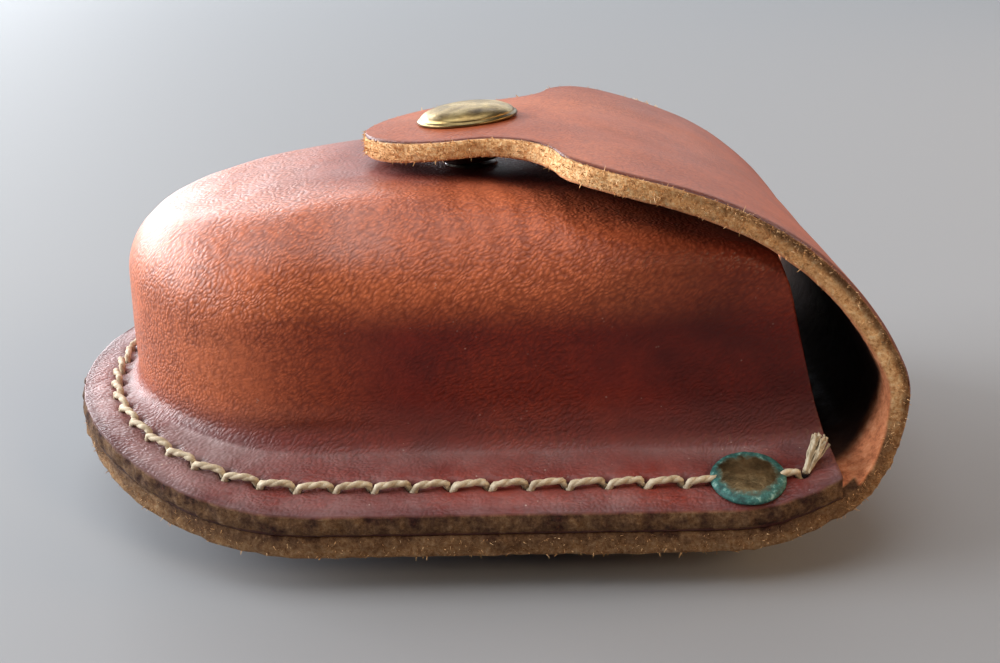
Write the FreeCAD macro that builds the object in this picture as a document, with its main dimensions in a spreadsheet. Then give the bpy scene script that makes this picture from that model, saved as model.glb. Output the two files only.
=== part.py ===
"""Wet-moulded leather belt pouch with a snap flap, lying on its belt loop.

Millimetres. +Z up, +X towards the mouth, origin under the middle of the case
on the outer face of the belt loop. The back panel runs on round the bend into
the flap and its tongue; the front shell is stitched onto the back panel.
"""
import FreeCAD, Part
import math
import os

os.makedirs("parts", exist_ok=True)
doc = FreeCAD.newDocument("belt_pouch")
V = FreeCAD.Vector

# ---------------------------------------------------------------- dimensions
sheet = doc.addObject("Spreadsheet::Sheet", "Dimensions")
sizes = {
    # leather and overall plan
    "leather": 2.5,
    "case_left": -49.5,
    "end_centre_x": -16.0,
    "half_depth": 39.2,
    "corner_x": 30.0,
    "corner_radius": 25.0,
    "mouth_end_x": 40.5,
    # arch of the flange and back about X
    "flat_half": 15.0,
    "arch_radius": 71.0,
    "fade_x": 28.0,
    "flange_top": 13.5,
    # moulded box of the front shell
    "box_half": 28.8,
    "box_end_radius": 27.0,
    "dome_top": 38.6,
    "dome_x": -4.0,
    "dome_radius": 150.0,
    "shoulder": 8.0,
    # bend and flap side profile, outer surface
    "bend_radius": 9.0,
    "bend_end_angle": 116.0,
    "rise_radius": 38.0,
    "rise_end_angle": 157.0,
    "crown_radius": 60.0,
    "crown_end_angle": 186.5,
    "tip_x": -12.5,
    "flap_half": 29.85,
    "tongue_half": 13.0,
    "tongue_root_x": 21.0,
    "tongue_neck_x": 0.5,
    # snap fastener
    "snap_x": 0.4,
    "cap_radius": 6.35,
    "cap_height": 2.0,
    "snap_post": 1.7,
    "socket_radius": 5.4,
    "socket_height": 2.2,
    "socket_drop": 0.28,
    "socket_bore": 2.6,
    "stud_lean": 0.35,
    "stud_lift": 0.12,
    "stud_flange": 3.4,
    "stud_radius": 2.0,
    "stud_height": 2.0,
    # seam
    "seam_margin": 3.9,
    "pitch": 4.23,
    "thread": 1.0,
    "stitch_hole": 1.3,
    "seam_start": 0.5,
    # corner rivets
    "rivet_x": 30.7,
    "rivet_cap": 4.0,
    "rivet_dome": 1.5,
    "rivet_post": 1.6,
    "rivet_foot": 3.4,
    "rivet_lift": 0.24,
    # belt loop
    "strap_half": 16.0,
    "strap": 2.5,
    "strap_left": -39.0,
    "slot_left": -26.0,
    "slot_right": 19.0,
    "strap_right": 34.0,
    "strap_ramp": 3.0,
    "belt_rivet_x": 28.5,
    "belt_rivet_y": 9.0,
    "belt_rivet_cap": 3.6,
    "belt_rivet_post": 1.5,
}
for row, (alias, value) in enumerate(sizes.items(), start=1):
    sheet.set("A%d" % row, alias)
    sheet.set("B%d" % row, str(value))
    sheet.setAlias("B%d" % row, alias)
doc.recompute()


def size(alias):
    """One dimension of the sheet, as a plain number."""
    return float(sheet.get(alias))


def link(target, prop, expression):
    """Bind a property of an object to cells of the sheet."""
    for alias in sorted(sizes, key=len, reverse=True):
        expression = expression.replace("<" + alias + ">", "Dimensions." + alias)
    target.setExpression(prop, expression)


# ------------------------------------------------------------------- helpers
def origin_plane(body, role):
    for feature in body.Origin.OriginFeatures:
        if feature.Role == role:
            return feature
    raise RuntimeError("no origin plane " + role)


def new_body(name):
    return doc.addObject("PartDesign::Body", name)


def new_sketch(body, name, role, geometry, offset=0.0):
    """A sketch on one origin plane of its own body, with closed outlines."""
    sketch = body.newObject("Sketcher::SketchObject", name)
    sketch.AttachmentSupport = (origin_plane(body, role), [""])
    sketch.MapMode = "FlatFace"
    sketch.AttachmentOffset = FreeCAD.Placement(V(0, 0, offset), FreeCAD.Rotation())
    for curve in geometry:
        sketch.addGeometry(curve, False)
    return sketch


def pad(body, name, sketch, expression, midplane=False, reverse=False):
    feature = body.newObject("PartDesign::Pad", name)
    feature.Profile = sketch
    link(feature, "Length", expression)
    feature.Midplane = midplane
    feature.Reversed = reverse
    doc.recompute()
    return feature


def cut_through(body, name, sketch, both=True, reverse=False, depth=None):
    """A pocket that has to take material away."""
    before = body.Shape.Volume
    feature = body.newObject("PartDesign::Pocket", name)
    feature.Profile = sketch
    if depth is None:
        feature.Type = 1
    else:
        link(feature, "Length", depth)
    feature.Midplane = both
    feature.Reversed = reverse
    doc.recompute()
    if body.Shape.Volume > before - 0.01:
        raise RuntimeError(name + " cut nothing")
    return feature


def line(x1, y1, x2, y2):
    return Part.LineSegment(V(x1, y1, 0), V(x2, y2, 0))


def arc(x1, y1, x2, y2, x3, y3):
    return Part.Arc(V(x1, y1, 0), V(x2, y2, 0), V(x3, y3, 0))


def polygon(points):
    closed = points + points[:1]
    return [line(a[0], a[1], b[0], b[1]) for a, b in zip(closed, closed[1:])]


def rectangle(x1, y1, x2, y2):
    return polygon([(x1, y1), (x2, y1), (x2, y2), (x1, y2)])


def round_end(centre_x, half_long, half_wide):
    """Half an ellipse, wider than long, that closes the left of an outline."""
    ellipse = Part.Ellipse(V(centre_x, half_wide, 0), V(centre_x - half_long, 0, 0), V(centre_x, 0, 0))
    return Part.ArcOfEllipse(ellipse, 0, math.pi)


def case_outline(end_x, beyond=0.01):
    """Plan of the flange and back: round end, straight sides, eased corners."""
    left = size("end_centre_x")
    half = size("half_depth")
    corner = size("corner_x")
    radius = size("corner_radius")

    def corner_y(x):
        return half - radius + math.sqrt(radius ** 2 - (x - corner) ** 2)

    middle = 0.5 * (corner + end_x)
    return [
        round_end(left, left - size("case_left"), half),
        line(left, half, corner, half),
        arc(corner, half, middle, corner_y(middle), end_x, corner_y(end_x)),
        line(end_x, corner_y(end_x), end_x + beyond, corner_y(end_x)),
        line(end_x + beyond, corner_y(end_x), end_x + beyond, -corner_y(end_x)),
        line(end_x + beyond, -corner_y(end_x), end_x, -corner_y(end_x)),
        arc(end_x, -corner_y(end_x), middle, -corner_y(middle), corner, -half),
        line(corner, -half, left, -half),
    ]


def box_outline(inset):
    """Plan of the moulded box, or of its hollow when inset by the leather."""
    left = size("end_centre_x")
    half = size("box_half") - inset
    end_x = size("mouth_end_x") + inset
    return [
        round_end(left, size("box_end_radius") - inset, half),
        line(left, half, end_x, half),
        line(end_x, half, end_x, -half),
        line(end_x, -half, left, -half),
    ]


# The arched section: flat in the middle, drooping along both long sides. A
# depth is counted from the top face of the flange down through the leathers.
ARCH_EDGE = 41.0


def arch_height(y, depth, radius):
    reach = max(abs(y) - size("flat_half"), 0.0)
    return size("flange_top") - radius + math.sqrt((radius - depth) ** 2 - reach ** 2)


def arch_section(depth_top, depth_bottom, radius):
    """Closed outline in (y, z) of one arched layer."""
    flat = size("flat_half")
    half_way = 0.5 * (flat + ARCH_EDGE)

    def side(sign, depth):
        return (sign * flat, arch_height(flat, depth, radius),
                sign * half_way, arch_height(half_way, depth, radius),
                sign * ARCH_EDGE, arch_height(ARCH_EDGE, depth, radius))

    right_top = side(1, depth_top)
    left_top = side(-1, depth_top)
    right_low = side(1, depth_bottom)
    left_low = side(-1, depth_bottom)
    return [
        line(left_top[0], left_top[1], right_top[0], right_top[1]),
        arc(*right_top),
        line(right_top[4], right_top[5], right_low[4], right_low[5]),
        arc(*right_low),
        line(right_low[0], right_low[1], left_low[0], left_low[1]),
        arc(*left_low),
        line(left_low[4], left_low[5], left_top[4], left_top[5]),
        arc(*left_top),
    ]


# The arch keeps its radius up to fade_x, then its curvature eases out along
# the leather, through the start of the bend, and is gone at the hinge line.
NEARLY_FLAT = 20000.0
FADE_STEPS = 4
BEND_STEPS = 6


def arch_radius_at(travelled):
    """Radius of the arched section at a distance past fade_x."""
    whole = size("mouth_end_x") - size("fade_x") + size("bend_radius") * math.pi / 2
    part = min(max(travelled / whole, 0.0), 1.0)
    ease = part * part * (3 - 2 * part)
    return 1.0 / ((1 - ease) / size("arch_radius") + ease / NEARLY_FLAT)


def fade_stations():
    start = size("fade_x")
    stretch = size("mouth_end_x") - start
    return [start + stretch * k / FADE_STEPS for k in range(FADE_STEPS + 1)]


def add_loft(body, name, sections, ruled):
    loft = body.newObject("PartDesign::AdditiveLoft", name)
    loft.Profile = sections[0]
    loft.Sections = sections[1:]
    loft.Ruled = ruled
    doc.recompute()


def arched_layer(body, name, depth_top, depth_bottom):
    """Arched plate whose arch starts to fade towards the mouth."""
    main = new_sketch(body, name + "_section", "YZ_Plane",
                      arch_section(depth_top, depth_bottom, size("arch_radius")), size("case_left") - 1.0)
    pad(body, name + "_plate", main, "<fade_x> - <case_left> + 1")
    sections = []
    for k, x in enumerate(fade_stations()):
        outline = arch_section(depth_top, depth_bottom, arch_radius_at(x - size("fade_x")))
        sections.append(new_sketch(body, name + "_fade_%d" % k, "YZ_Plane", outline, x))
    add_loft(body, name + "_fade", sections, True)


def bent_layer(body, name, depth_top, depth_bottom):
    """The quarter bend: arched sections turned about the bend's axis."""
    centre = V(0, size("flange_top") - 2 * size("leather") + size("bend_radius"), size("mouth_end_x"))
    flat_run = size("mouth_end_x") - size("fade_x")
    sections = []
    for k in range(BEND_STEPS + 1):
        angle = 90.0 * k / BEND_STEPS
        travelled = flat_run + size("bend_radius") * math.radians(angle)
        outline = arch_section(depth_top, depth_bottom, arch_radius_at(travelled))
        sketch = new_sketch(body, name + "_bend_%d" % k, "YZ_Plane", outline)
        to_mouth = FreeCAD.Placement(V(0, 0, size("mouth_end_x")), FreeCAD.Rotation())
        turn = FreeCAD.Placement(V(0, 0, 0), FreeCAD.Rotation(V(1, 0, 0), -angle), centre)
        sketch.AttachmentOffset = turn.multiply(to_mouth)
        sections.append(sketch)
    add_loft(body, name + "_bend", sections, False)


def trim_plan(body, name, outline):
    sketch = new_sketch(body, name + "_plan", "XY_Plane", outline + rectangle(-90, -70, 90, 70))
    cut_through(body, name + "_trim", sketch)


# -------------------------------------------- side profile of bend and flap
def profile_stations():
    """Outer surface of bend, rise and crown as (heading, radius, start) arcs."""
    x = size("mouth_end_x")
    z = size("flange_top") - 2 * size("leather")
    heading = 0.0
    arcs = []
    steps = (("bend_radius", "bend_end_angle"), ("rise_radius", "rise_end_angle"),
             ("crown_radius", "crown_end_angle"))
    for radius_name, angle_name in steps:
        radius = size(radius_name)
        end = math.radians(size(angle_name))
        cx = x - radius * math.sin(heading)
        cz = z + radius * math.cos(heading)
        arcs.append((cx, cz, radius, heading, end))
        x = cx + radius * math.sin(end)
        z = cz - radius * math.cos(end)
        heading = end
    return arcs, (x, z), heading


ARCS, CROWN_END, TIP_HEADING = profile_stations()


def on_arc(index, heading, inward):
    """Point of one arc at a heading, moved inward through the leather."""
    cx, cz, radius, _, _ = ARCS[index]
    reach = radius - inward
    return (cx + reach * math.sin(heading), cz - reach * math.cos(heading))


def heading_at_x(index, x):
    cx, _, radius, _, _ = ARCS[index]
    return math.pi - math.asin((x - cx) / radius)


def band(index, start, end):
    """Outer and inner arc in (x, z) of a strip of leather between two headings."""
    depth = size("leather")
    middle = 0.5 * (start + end)
    outer = on_arc(index, start, 0) + on_arc(index, middle, 0) + on_arc(index, end, 0)
    inner = on_arc(index, start, depth) + on_arc(index, middle, depth) + on_arc(index, end, depth)
    return outer, inner


def band_outline(pieces, tail=None):
    """Join arcs of leather end to end into one closed outline."""
    outer_curves = []
    inner_curves = []
    for outer, inner in pieces:
        outer_curves.append(arc(*outer))
        inner_curves.append(arc(*inner))
    start_outer = pieces[0][0][:2]
    start_inner = pieces[0][1][:2]
    end_outer = pieces[-1][0][4:]
    end_inner = pieces[-1][1][4:]
    curves = outer_curves + inner_curves
    if tail:
        tip_outer = (end_outer[0] + tail * math.cos(TIP_HEADING), end_outer[1] + tail * math.sin(TIP_HEADING))
        tip_inner = (end_inner[0] + tail * math.cos(TIP_HEADING), end_inner[1] + tail * math.sin(TIP_HEADING))
        curves.append(line(end_outer[0], end_outer[1], tip_outer[0], tip_outer[1]))
        curves.append(line(end_inner[0], end_inner[1], tip_inner[0], tip_inner[1]))
        end_outer = tip_outer
        end_inner = tip_inner
    curves.append(line(start_outer[0], start_outer[1], start_inner[0], start_inner[1]))
    curves.append(line(end_outer[0], end_outer[1], end_inner[0], end_inner[1]))
    return curves


HINGE_HEADING = math.radians(90.0)
ROOT_HEADING = heading_at_x(2, size("tongue_root_x"))
HINGE = on_arc(0, HINGE_HEADING, 0)
ROOT = on_arc(2, ROOT_HEADING, 0)

# ---------------------------------------------------------------- the seam
def surface_point(x, y):
    """Point of the flange's top face."""
    stations = fade_stations()
    if x <= stations[0] or x >= stations[-1]:
        return V(x, y, arch_height(y, 0.0, arch_radius_at(x - stations[0])))
    before = max(station for station in stations if station <= x)
    after = min(station for station in stations if station > x)
    part = (x - before) / (after - before)
    low = arch_height(y, 0.0, arch_radius_at(before - stations[0]))
    high = arch_height(y, 0.0, arch_radius_at(after - stations[0]))
    return V(x, y, low * (1 - part) + high * part)


def surface_normal(x, y):
    step = 0.05
    along_y = surface_point(x, y + step) - surface_point(x, y - step)
    along_x = surface_point(x + step, y) - surface_point(x - step, y)
    normal = along_x.cross(along_y)
    normal.normalize()
    return normal


def lifted(x, y, height):
    """Point above the flange's top face, or below it if height is negative."""
    return surface_point(x, y) + surface_normal(x, y) * height


def seam_half():
    """Holes from the round end along one side, equally spaced on the seam."""
    centre = size("end_centre_x")
    half_long = centre - size("case_left") - size("seam_margin")
    half_wide = size("half_depth") - size("seam_margin")
    pitch = size("pitch")
    fine = 4000
    points = []
    travelled = 0.0
    wanted = size("seam_start") * pitch
    previous = (centre - half_long, 0.0)
    for k in range(1, fine + 1):
        angle = 0.5 * math.pi * k / fine
        current = (centre - half_long * math.cos(angle), half_wide * math.sin(angle))
        travelled += math.hypot(current[0] - previous[0], current[1] - previous[1])
        if travelled >= wanted:
            points.append(current)
            wanted += pitch
        previous = current
    x = centre + wanted - travelled
    while x < size("mouth_end_x") - 1.5:
        points.append((x, half_wide))
        x += pitch
    return points


SEAM = seam_half()
SEAM_Y = size("half_depth") - size("seam_margin")
all_holes = [(x, -y) for x, y in reversed(SEAM)] + SEAM


def clear_of_rivet(point):
    return math.hypot(point[0] - size("rivet_x"), abs(point[1]) - SEAM_Y) > size("rivet_cap") + 0.4


def seam_runs():
    """Unbroken rows of holes; the corner rivets interrupt the seam."""
    runs = [[]]
    for hole in all_holes:
        if clear_of_rivet(hole):
            runs[-1].append(hole)
        elif runs[-1]:
            runs.append([])
    return [run for run in runs if run]


def stitch(here, ahead, behind):
    """One stitch: over to the next hole, down through this one, back below."""
    radius = 0.5 * size("thread")
    above = radius
    below = -2 * size("leather") - radius
    low = lifted(here[0], here[1], below)
    rise = lifted(here[0], here[1], above) - low
    pieces = [Part.makeCylinder(radius, rise.Length, low, rise)]
    for other, height in ((ahead, above), (behind, below)):
        start = lifted(here[0], here[1], height)
        pieces.append(Part.makeSphere(radius, start))
        if other is None:
            continue
        reach = lifted(other[0], other[1], height) - start
        length = reach.Length - size("thread") - 0.12
        reach.normalize()
        pieces.append(Part.makeCylinder(radius, length, start, reach))
    solid = pieces[0].multiFuse(pieces[1:])
    return solid.Solids[0]


def hole_cylinder(x, y, radius):
    start = lifted(x, y, -3 * size("leather"))
    return Part.makeCylinder(radius, 4 * size("leather"), start, surface_normal(x, y))


def made_shape(name, shape):
    """A piece whose shape follows a curved path and so is set in code."""
    feature = doc.addObject("Part::Feature", name)
    feature.Shape = shape
    feature.Placement = FreeCAD.Placement()
    return feature


def cut_node(name, base, tool):
    node = doc.addObject("Part::Cut", name)
    node.Base = base
    node.Tool = tool
    node.Label = name
    doc.recompute()
    return node


nodes = []

seam_holes = [hole_cylinder(x, y, 0.5 * size("stitch_hole")) for x, y in all_holes if clear_of_rivet((x, y))]
rivet_holes = [hole_cylinder(size("rivet_x"), side * SEAM_Y, size("rivet_post")) for side in (-1, 1)]
holes = made_shape("seam_holes", Part.Compound(seam_holes + rivet_holes))


def loop_spots():
    """Holes of the two stitched rows across the belt loop's closed end."""
    count = 6
    spots = []
    for x in (size("strap_left") + 3.0, size("slot_left") - 4.0):
        spots.append([V(x, (k - 0.5 * (count - 1)) * size("pitch"), 0) for k in range(count)])
    return spots


LOOP_HOLE_DEPTH = 16.0
loop_hole_list = []
for spots in loop_spots():
    for spot in spots:
        loop_hole_list.append(Part.makeCylinder(0.5 * size("stitch_hole"), LOOP_HOLE_DEPTH, spot))
loop_hole_tool = made_shape("loop_stitch_holes", Part.Compound(loop_hole_list))

# ---------------------------------------------------------- the front shell
shell = new_body("front_shell_body")
arched_layer(shell, "front", 0.0, size("leather"))
trim_plan(shell, "front", case_outline(size("mouth_end_x")))


def edges_at(shape, test):
    return ["Edge%d" % (k + 1) for k, edge in enumerate(shape.Edges) if test(edge)]


def add_fillet(body, name, base, edges, radius):
    fillet = body.newObject("PartDesign::Fillet", name)
    fillet.Base = (base, edges)
    link(fillet, "Radius", radius)
    doc.recompute()
    return fillet


def dome_height(x, inset=0.0):
    """Top of the moulded box along its middle, or of its hollow."""
    radius = size("dome_radius")
    return size("dome_top") - radius + math.sqrt((radius - inset) ** 2 - (x - size("dome_x")) ** 2)


def domed_box(name, inset, floor, rounding):
    """Upright walls on the box's plan under a gently domed, rounded top."""
    body = new_body(name)
    left = size("case_left")
    right = size("mouth_end_x") + inset
    middle = size("dome_x")
    left_top = dome_height(left, inset)
    right_top = dome_height(right, inset)
    side = [
        line(left, floor, right, floor),
        line(right, floor, right, right_top),
        arc(right, right_top, middle, dome_height(middle, inset), left, left_top),
        line(left, left_top, left, floor),
    ]
    pad(body, name + "_side_pad", new_sketch(body, name + "_side", "XZ_Plane", side), "2 * <half_depth>",
        midplane=True)
    trim_plan(body, name, box_outline(inset))
    trimmed = doc.getObject(name + "_trim")
    lowest_top = right_top - 0.1

    def on_rim(edge):
        box = edge.BoundBox
        return box.ZMin > lowest_top and box.XMin < right - 1.0

    add_fillet(body, name + "_round", trimmed, edges_at(trimmed.Shape, on_rim), rounding)
    return body


outer_box = domed_box("box", 0.0, size("flange_top") - 1.5, "<shoulder>")
hollow = domed_box("hollow", size("leather"), 0.0, "<shoulder> - <leather>")
moulding = doc.addObject("Part::Fuse", "moulded_leather")
moulding.Base = shell
moulding.Tool = outer_box
doc.recompute()
hollowed = cut_node("hollowed_leather", moulding, hollow)

# Side view of the mouth's edge, from the flange up the wall and over the top.
MOUTH_FOOT = (40.4, 13.55)
MOUTH_LOW = (38.2, 20.8)
MOUTH_HIGH = (36.4, 28.0)
MOUTH_BEND = (35.3, 31.2)
MOUTH_TOP = (33.6, 34.2)
ABOVE_ALL = 45.0
BEYOND_MOUTH = 60.0
mouth_curve = [
    arc(*MOUTH_FOOT, *MOUTH_LOW, *MOUTH_HIGH),
    arc(*MOUTH_HIGH, *MOUTH_BEND, *MOUTH_TOP),
    line(*MOUTH_TOP, MOUTH_TOP[0], ABOVE_ALL),
    line(MOUTH_TOP[0], ABOVE_ALL, BEYOND_MOUTH, ABOVE_ALL),
    line(BEYOND_MOUTH, ABOVE_ALL, BEYOND_MOUTH, MOUTH_FOOT[1]),
    line(BEYOND_MOUTH, MOUTH_FOOT[1], *MOUTH_FOOT),
]
mouth_cutter = new_body("mouth_cutter")
pad(mouth_cutter, "mouth_pad", new_sketch(mouth_cutter, "mouth_side", "XZ_Plane", mouth_curve),
    "2 * <half_depth>", midplane=True)
stud_x = size("snap_x") + size("stud_lean")
stud_seat = dome_height(stud_x)
stud_bore = doc.addObject("Part::Cylinder", "stud_bore")
link(stud_bore, "Radius", "<snap_post> + 0.05")
link(stud_bore, "Height", "3 * <leather>")
stud_bore.Placement.Base = V(stud_x, 0, stud_seat - 1.5 * size("leather"))
openings = doc.addObject("Part::Compound", "shell_openings")
openings.Links = [mouth_cutter, stud_bore, holes]
doc.recompute()
nodes.append(cut_node("front_shell", hollowed, openings))

# ----------------------------------------------------------- the back panel
back = new_body("back_panel_body")
arched_layer(back, "back", size("leather"), 2 * size("leather"))
bent_layer(back, "back", size("leather"), 2 * size("leather"))
trim_plan(back, "back", case_outline(HINGE[0], 3.0))
belt_holes = new_sketch(back, "belt_rivet_holes", "XY_Plane",
                        [Part.Circle(V(size("belt_rivet_x"), side * size("belt_rivet_y"), 0), V(0, 0, 1),
                                     size("belt_rivet_post")) for side in (-1, 1)], 20.0)
cut_through(back, "belt_rivet_bores", belt_holes, both=False, depth="20")
back_holes = doc.addObject("Part::Compound", "back_holes")
back_holes.Links = [holes, loop_hole_tool]
doc.recompute()
nodes.append(cut_node("back_panel", back, back_holes))

# ------------------------------------------------------- flap and its tongue
flap = new_body("flap_panel")
flap_side = new_sketch(flap, "flap_side", "XZ_Plane", band_outline([
    band(0, HINGE_HEADING, math.radians(size("bend_end_angle"))),
    band(1, math.radians(size("bend_end_angle")), math.radians(size("rise_end_angle"))),
    band(2, math.radians(size("rise_end_angle")), ROOT_HEADING)]))
pad(flap, "flap_pad", flap_side, "2 * <flap_half>", midplane=True)
nodes.append(flap)

tongue_body = new_body("flap_tongue_body")
tail_length = (CROWN_END[0] - size("tip_x") + 0.6) / abs(math.cos(TIP_HEADING))
tongue_side = new_sketch(tongue_body, "tongue_side", "XZ_Plane", band_outline([
    band(2, ROOT_HEADING, math.radians(size("crown_end_angle")))], tail=tail_length))
pad(tongue_body, "tongue_pad", tongue_side, "2 * <flap_half>", midplane=True)


def tongue_outline():
    """Round tip, then an S-curve on each side out to the full width."""
    half = size("tongue_half")
    full = size("flap_half")
    neck = size("tongue_neck_x")
    root = size("tongue_root_x")
    tip = size("tip_x")
    mid_x = 0.5 * (neck + root)
    mid_y = 0.5 * (half + full)
    radius = ((root - neck) ** 2 + (full - half) ** 2) / (4 * (full - half))
    sweep = 0.5 * math.asin(min((mid_x - neck) / radius, 1.0))
    low_x = neck + radius * math.sin(sweep)
    low_y = half + radius * (1 - math.cos(sweep))
    far = root + 12.0
    return [
        arc(neck, half, tip, 0, neck, -half),
        arc(neck, half, low_x, low_y, mid_x, mid_y),
        arc(mid_x, mid_y, root - (low_x - neck), full - (low_y - half), root, full),
        line(root, full, far, full),
        line(far, full, far, -full),
        line(far, -full, root, -full),
        arc(root, -full, root - (low_x - neck), -full + (low_y - half), mid_x, -mid_y),
        arc(mid_x, -mid_y, low_x, -low_y, neck, -half),
    ]


trim_plan(tongue_body, "tongue", tongue_outline())
snap_heading = heading_at_x(2, size("snap_x"))
SNAP_TOP = on_arc(2, snap_heading, 0)
SNAP_TILT = -(math.degrees(snap_heading) - 180.0)
snap_frame = FreeCAD.Placement(V(SNAP_TOP[0], 0, SNAP_TOP[1]), FreeCAD.Rotation(V(0, 1, 0), SNAP_TILT))
cap_hole = doc.addObject("Part::Cylinder", "cap_hole")
link(cap_hole, "Radius", "<snap_post> + 0.05")
link(cap_hole, "Height", "2 * <leather>")
below_tongue = FreeCAD.Placement(V(0, 0, -1.5 * size("leather")), FreeCAD.Rotation())
cap_hole.Placement = snap_frame.multiply(below_tongue)
nodes.append(cut_node("flap_tongue", tongue_body, cap_hole))


# ------------------------------------------------------------ turned pieces
def turned(name, outline, placement):
    """A piece of revolution about its own Z, drawn as a half section."""
    body = new_body(name)
    sketch = new_sketch(body, name + "_half", "XZ_Plane", outline)
    turn = body.newObject("PartDesign::Revolution", name + "_turn")
    turn.Profile = sketch
    turn.ReferenceAxis = (sketch, ["V_Axis"])
    turn.Angle = 360.0
    body.Placement = placement
    doc.recompute()
    nodes.append(body)
    return body


def dome_arc(radius, height, rim):
    """Arc from the rim to the top whose centre lies on the axis."""
    rise = height - rim
    ball = (radius ** 2 + rise ** 2) / (2 * rise)
    half_angle = 0.5 * math.asin(radius / ball)
    mid_x = ball * math.sin(half_angle)
    mid_z = height - ball * (1 - math.cos(half_angle))
    return arc(radius, rim, mid_x, mid_z, 0, height)


def dome(radius, height, rim):
    """Half section of a shallow dome on a short rim."""
    return [line(0, 0, radius, 0), line(radius, 0, radius, rim),
            dome_arc(radius, height, rim), line(0, height, 0, 0)]


leather = size("leather")
cap = size("cap_radius")
post = size("snap_post")
cap_section = [
    line(0, -leather - 0.5, post, -leather - 0.5),
    line(post, -leather - 0.5, post, 0.0),
    line(post, 0.0, cap, 0.0),
    line(cap, 0.0, cap, 0.45),
    dome_arc(cap, size("cap_height"), 0.45),
    line(0, size("cap_height"), 0, -leather - 0.5),
]
turned("snap_cap", cap_section, snap_frame)

socket = size("socket_radius")
bore = size("socket_bore")
tall = size("socket_height")
socket_section = polygon([
    (post + 0.05, 0), (socket, 0), (socket, -0.7), (socket - 1.7, -tall), (bore, -tall),
    (bore, -tall + 0.5), (bore + 0.9, -tall + 0.5), (bore + 0.9, -tall + 1.4), (bore, -tall + 1.4),
    (bore, -0.6), (post + 0.05, -0.6)])
socket_top = -leather - size("socket_drop")
under_tongue = snap_frame.multiply(FreeCAD.Placement(V(0, 0, socket_top), FreeCAD.Rotation()))
turned("snap_socket", socket_section, under_tongue)

spring = doc.addObject("Part::Torus", "snap_spring")
link(spring, "Radius1", "<socket_bore> + 0.42")
spring.Radius2 = 0.36
spring.Angle3 = 320.0
in_groove = FreeCAD.Placement(V(0, 0, socket_top - tall + 0.95), FreeCAD.Rotation())
spring.Placement = snap_frame.multiply(in_groove)
nodes.append(spring)

stud = size("stud_radius")
stud_tall = size("stud_height")
stud_section = [
    line(0, 0, size("stud_flange"), 0),
    line(size("stud_flange"), 0, size("stud_flange") - 0.3, 0.25),
    line(size("stud_flange") - 0.3, 0.25, stud - 0.4, 0.35),
    line(stud - 0.4, 0.35, stud - 0.4, 0.7),
    arc(stud - 0.4, 0.7, stud, 0.5 * (0.7 + stud_tall), 0.7, stud_tall),
    line(0.7, stud_tall, 0, stud_tall),
    line(0, stud_tall, 0, 0),
]
stud_place = FreeCAD.Placement(V(stud_x, 0, stud_seat + size("stud_lift")), FreeCAD.Rotation())
turned("snap_stud", stud_section, stud_place)
eyelet_top = -leather - 0.45
eyelet_section = polygon([
    (0, 0), (post, 0), (post, eyelet_top), (3.9, eyelet_top), (3.9, eyelet_top - 0.35),
    (3.3, eyelet_top - 0.8), (0, eyelet_top - 0.8)])
turned("snap_stud_post", eyelet_section, stud_place)

rivet_post = size("rivet_post")
rivet_x = size("rivet_x")
lift = size("rivet_lift")
foot = size("rivet_foot")
shank = rivet_post - 0.02
deep = 2 * leather + 0.12
for word, side in (("near", -1), ("far", 1)):
    spot = surface_point(rivet_x, side * SEAM_Y)
    upright = FreeCAD.Rotation(V(0, 0, 1), surface_normal(rivet_x, side * SEAM_Y))
    frame = FreeCAD.Placement(spot, upright)
    turned("corner_rivet_cap_" + word, dome(size("rivet_cap"), size("rivet_dome"), 0.35),
           frame.multiply(FreeCAD.Placement(V(0, 0, lift), FreeCAD.Rotation())))
    turned("corner_rivet_post_" + word, polygon([
        (0, lift), (shank, lift), (shank, -deep), (foot, -deep), (foot, -deep - 0.5),
        (foot - 0.6, -deep - 0.9), (0, -deep - 0.9)]), frame)

# ------------------------------------------------------------ seam thread
stitches = []
for run in seam_runs():
    for k, here in enumerate(run):
        ahead = run[k + 1] if k + 1 < len(run) else None
        behind = run[k - 1] if k > 0 else None
        stitches.append(stitch(here, ahead, behind))
seam_thread = made_shape("seam_thread", Part.Compound(stitches))
nodes.append(seam_thread)

last_hole = [hole for hole in all_holes if clear_of_rivet(hole)][0]
tail_start = lifted(last_hole[0], last_hole[1], 0.5 * size("thread"))
TAIL_RADIUS = 0.45
TAIL_TIP = 0.2
tail_foot = tail_start + V(0.62, 0.0, 0.05)
tail_bend = tail_start + V(2.2, -0.4, 0.9)
tail_tip = tail_start + V(3.2, -0.3, 2.6)
first_run = tail_bend - tail_foot
last_run = tail_tip - tail_bend
tail_piece = Part.makeCylinder(TAIL_RADIUS, first_run.Length, tail_foot, first_run)
tail_piece = tail_piece.fuse(Part.makeSphere(TAIL_RADIUS, tail_bend))
tail_piece = tail_piece.fuse(Part.makeCone(TAIL_RADIUS, TAIL_TIP, last_run.Length, tail_bend, last_run))
nodes.append(made_shape("thread_tail", tail_piece))

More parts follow.
